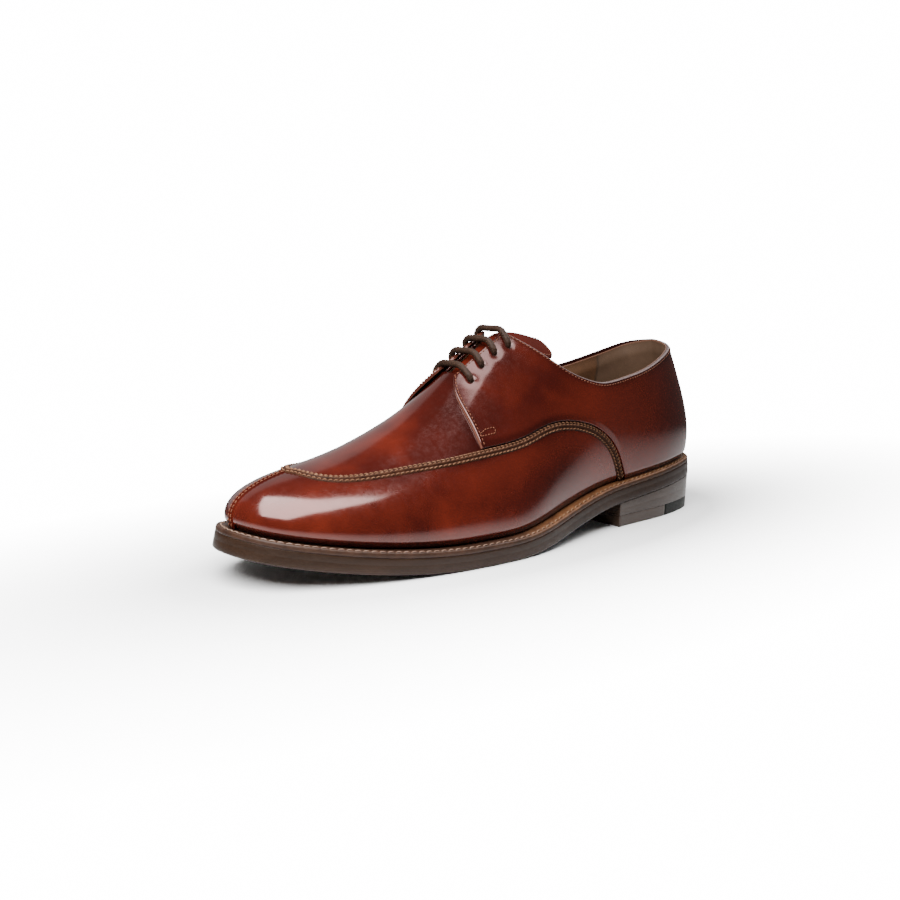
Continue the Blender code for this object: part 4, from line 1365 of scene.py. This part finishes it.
def heel_outline(front, back):
    """The closed plan of the heel between two distances from its back, at even steps."""
    t = np.linspace(-HEEL_PLACES, HEEL_PLACES, 601)
    rim = edge(t, HEEL_INSET + 0 * t)[0]
    kept = rim[(rim[:, 1] > back) & (rim[:, 1] < front)]
    inner = kept[kept[:, 0] < 0]
    outer = kept[kept[:, 0] >= 0]

    def at(points, y):
        order = np.argsort(points[:, 1])
        return np.array([[np.interp(y, points[order, 1], points[order, 0]), y]])

    if back <= 0:
        ring = np.vstack([at(inner, front), kept, at(outer, front), at(inner, front)])
    else:
        ring = np.vstack([at(inner, back), inner[::-1], at(inner, front), at(outer, front), outer[::-1],
                          at(outer, back), at(inner, back)])
    return resample(ring, HEEL_STEP)[0][:-1]


def heel_block(name, node, front, back, low, high, paint, grooves=()):
    """A block of the heel: rings of the outline, drawn in at its rims and at each groove."""
    ring = heel_outline(front, back)
    along = unit(np.roll(ring, -1, 0) - np.roll(ring, 1, 0))
    out = np.stack([along[:, 1], -along[:, 0]], 1)
    out *= np.sign(((ring - ring.mean(0)) * out).sum(1).mean())
    levels = list(HEEL_RIM)
    for groove in grooves:
        levels += [(groove + step, inset) for step, inset in HEEL_GROOVE]
    levels += [(1 - level, inset) for level, inset in HEEL_RIM[::-1]]
    rows = []
    for level, inset in levels:
        plan = ring - inset * out
        z = low(plan[:, 1]) * (1 - level) + high(plan[:, 1]) * level
        inwards = HEEL_TAPER * np.clip(SEAT_BACK - z, 0, None) / SEAT_BACK
        centre_y = np.minimum(plan[:, 1], HEEL_ROUND) - HEEL_ROUND
        keep = 1 - inwards / np.maximum(np.hypot(plan[:, 0], centre_y), HEEL_ROUND)
        rows.append(np.stack([plan[:, 0] * keep, plan[:, 1] - centre_y + centre_y * keep, z], 1))
    n, m = len(rows), len(ring)
    verts = np.vstack([*rows, rows[0].mean(0), rows[-1].mean(0)])
    faces = grid_quads(n, m, wrap_m=True).tolist()
    for k in range(m):
        faces.append([n * m, (k + 1) % m, k])
        faces.append([n * m + 1, (n - 1) * m + k, (n - 1) * m + (k + 1) % m])
    piece(name, verts, faces, paint, (node,), sharp=PLATE_SHARP)


def heel():
    """Stack, top piece and rubber tip, between the ground, the joint and the sole."""
    def ground(y):
        return 0 * y

    def joint(y):
        return TOP_PIECE_THICK + 0 * y

    def stack_low(y):
        return joint(y) + STACK_GAP

    def seat(y):
        return sole_bottom(y) - SEAT_GAP

    heel_block("heel_stack_body", "heel_stack", BREAST, 0, stack_low, seat, HEEL_PAINT,
               (STACK_GROOVE,))
    heel_block("heel_top_piece_body", "heel_top_piece", BREAST, RUBBER_LENGTH + RUBBER_GAP, ground, joint,
               HEEL_PAINT)
    heel_block("heel_rubber_body", "heel_rubber", RUBBER_LENGTH, 0, ground, joint, RUBBER_PAINT)


upper_skin()
lining()
quarter_stitches([quarter("quarter_lateral_skin", "quarter_lateral", False),
                  quarter("quarter_medial_skin", "quarter_medial", True)])
seams()
tongue()
lace()
plate("sole_body", SOLE_PROFILE, SOLE_PAINT, ("outsole", "midsole"), 480, no_inset)
welt()
heel()
plate("insole_sock", SOCK_PROFILE, SOCK_PAINT, ("insole",), 320, sock_inset)


# Camera, floor and light, in metres

CAMERA_AT = (0.4620, -0.3695, 0.1540)
LOOK_AT = (0.0010, 0.0, 0.040)
LENS = 44.376
SENSOR = 36.0
SHIFT = (-0.0344, 0.0155)
FLOOR_RADIUS = 0.5
FLOOR_OVAL = (2.5, 1.0, 1.0)
FLOOR_FADE = (0.175, 0.49)
FLOOR_COLOUR = (0.72, 0.72, 0.72, 1.0)
STUDIO_COLOUR = (1.0, 0.98, 0.96, 1.0)
STUDIO_DIM = 0.12
STUDIO_WHITE = 16.0
# Place, aim, width, height, radiance and turn in degrees
LIGHTS = {
    "key": ((0.131, -0.276, 0.30), (0.131, -0.276, 0.0), 0.348, 0.40, 22, 27),
    "fill": ((0.023, -0.018, 0.17), (0.023, -0.018, 0.0), 0.062, 0.025, 10, 20),
    "back": ((-0.92, 0.13, 0.50), (0.0, 0.0, 0.05), 1.4, 0.95, 0.6, 0),
    "rear": ((0.06, 0.62, 0.80), (0.0, 0.05, 0.05), 0.9, 0.7, 10, 0),
}


def placed(name, data, at, aim):
    """A camera or a light that looks from one place at another."""
    made = bpy.data.objects.new(name, data)
    made.location = at
    made.rotation_euler = (Vector(aim) - Vector(at)).to_track_quat("-Z", "Y").to_euler()
    bpy.context.scene.collection.objects.link(made)
    return made


def camera():
    data = bpy.data.cameras.new("camera")
    data.sensor_width = SENSOR
    data.lens = LENS
    data.shift_x, data.shift_y = SHIFT
    bpy.context.scene.camera = placed("camera", data, CAMERA_AT, LOOK_AT)


def floor():
    """A pale disc that fades out into the white surround."""
    angle = np.linspace(0, 2 * math.pi, 96, endpoint=False)
    rim = np.stack([FLOOR_RADIUS * np.cos(angle), FLOOR_RADIUS * np.sin(angle), 0 * angle], 1)
    mesh = bpy.data.meshes.new("floor")
    mesh.from_pydata(rim.tolist(), [], [list(range(len(rim)))])
    p = Paint("floor_paper", Base_Color=FLOOR_COLOUR, Roughness=0.8, Specular_IOR_Level=0.1)
    oval = p.add("ShaderNodeMapping")
    oval.inputs["Scale"].default_value = FLOOR_OVAL
    p.link(p.place, oval.inputs["Vector"])
    length = p.add("ShaderNodeVectorMath", operation="LENGTH")
    p.link(oval.outputs["Vector"], length.inputs[0])
    clear = p.add("ShaderNodeBsdfTransparent")
    mix = p.add("ShaderNodeMixShader")
    p.link(p.span(length.outputs["Value"], *FLOOR_FADE), mix.inputs["Fac"])
    p.link(p.shader.outputs["BSDF"], mix.inputs[1])
    p.link(clear.outputs["BSDF"], mix.inputs[2])
    p.link(mix.outputs["Shader"], p.tree.nodes["Material Output"].inputs["Surface"])
    mesh.materials.append(p.material)
    made = bpy.data.objects.new("floor", mesh)
    bpy.context.scene.collection.objects.link(made)


def soft_light(name, at, aim, width, height, radiance, turn):
    """A soft box out of the camera's sight, turned in its own plane."""
    data = bpy.data.lights.new(name, "AREA")
    data.shape = "RECTANGLE"
    data.size, data.size_y = width, height
    data.energy = radiance * math.pi * width * height
    made = placed(name, data, at, aim)
    made.visible_camera = False
    made.rotation_euler.rotate_axis("Z", math.radians(turn))


def surround():
    """White where the camera looks past the floor, dim elsewhere, as in a dark studio."""
    world = bpy.data.worlds.new("studio")
    bpy.context.scene.world = world
    world.use_nodes = True
    tree = world.node_tree
    dim = tree.nodes["Background"]
    dim.inputs["Color"].default_value = STUDIO_COLOUR
    dim.inputs["Strength"].default_value = STUDIO_DIM
    white = tree.nodes.new("ShaderNodeBackground")
    white.inputs["Color"].default_value = (1.0, 1.0, 1.0, 1.0)
    white.inputs["Strength"].default_value = STUDIO_WHITE
    rays = tree.nodes.new("ShaderNodeLightPath")
    mix = tree.nodes.new("ShaderNodeMixShader")
    tree.links.new(rays.outputs["Is Camera Ray"], mix.inputs["Fac"])
    tree.links.new(dim.outputs["Background"], mix.inputs[1])
    tree.links.new(white.outputs["Background"], mix.inputs[2])
    tree.links.new(mix.outputs["Shader"], tree.nodes["World Output"].inputs["Surface"])


camera()
floor()
for light, settings in LIGHTS.items():
    soft_light(light, *settings)
surround()
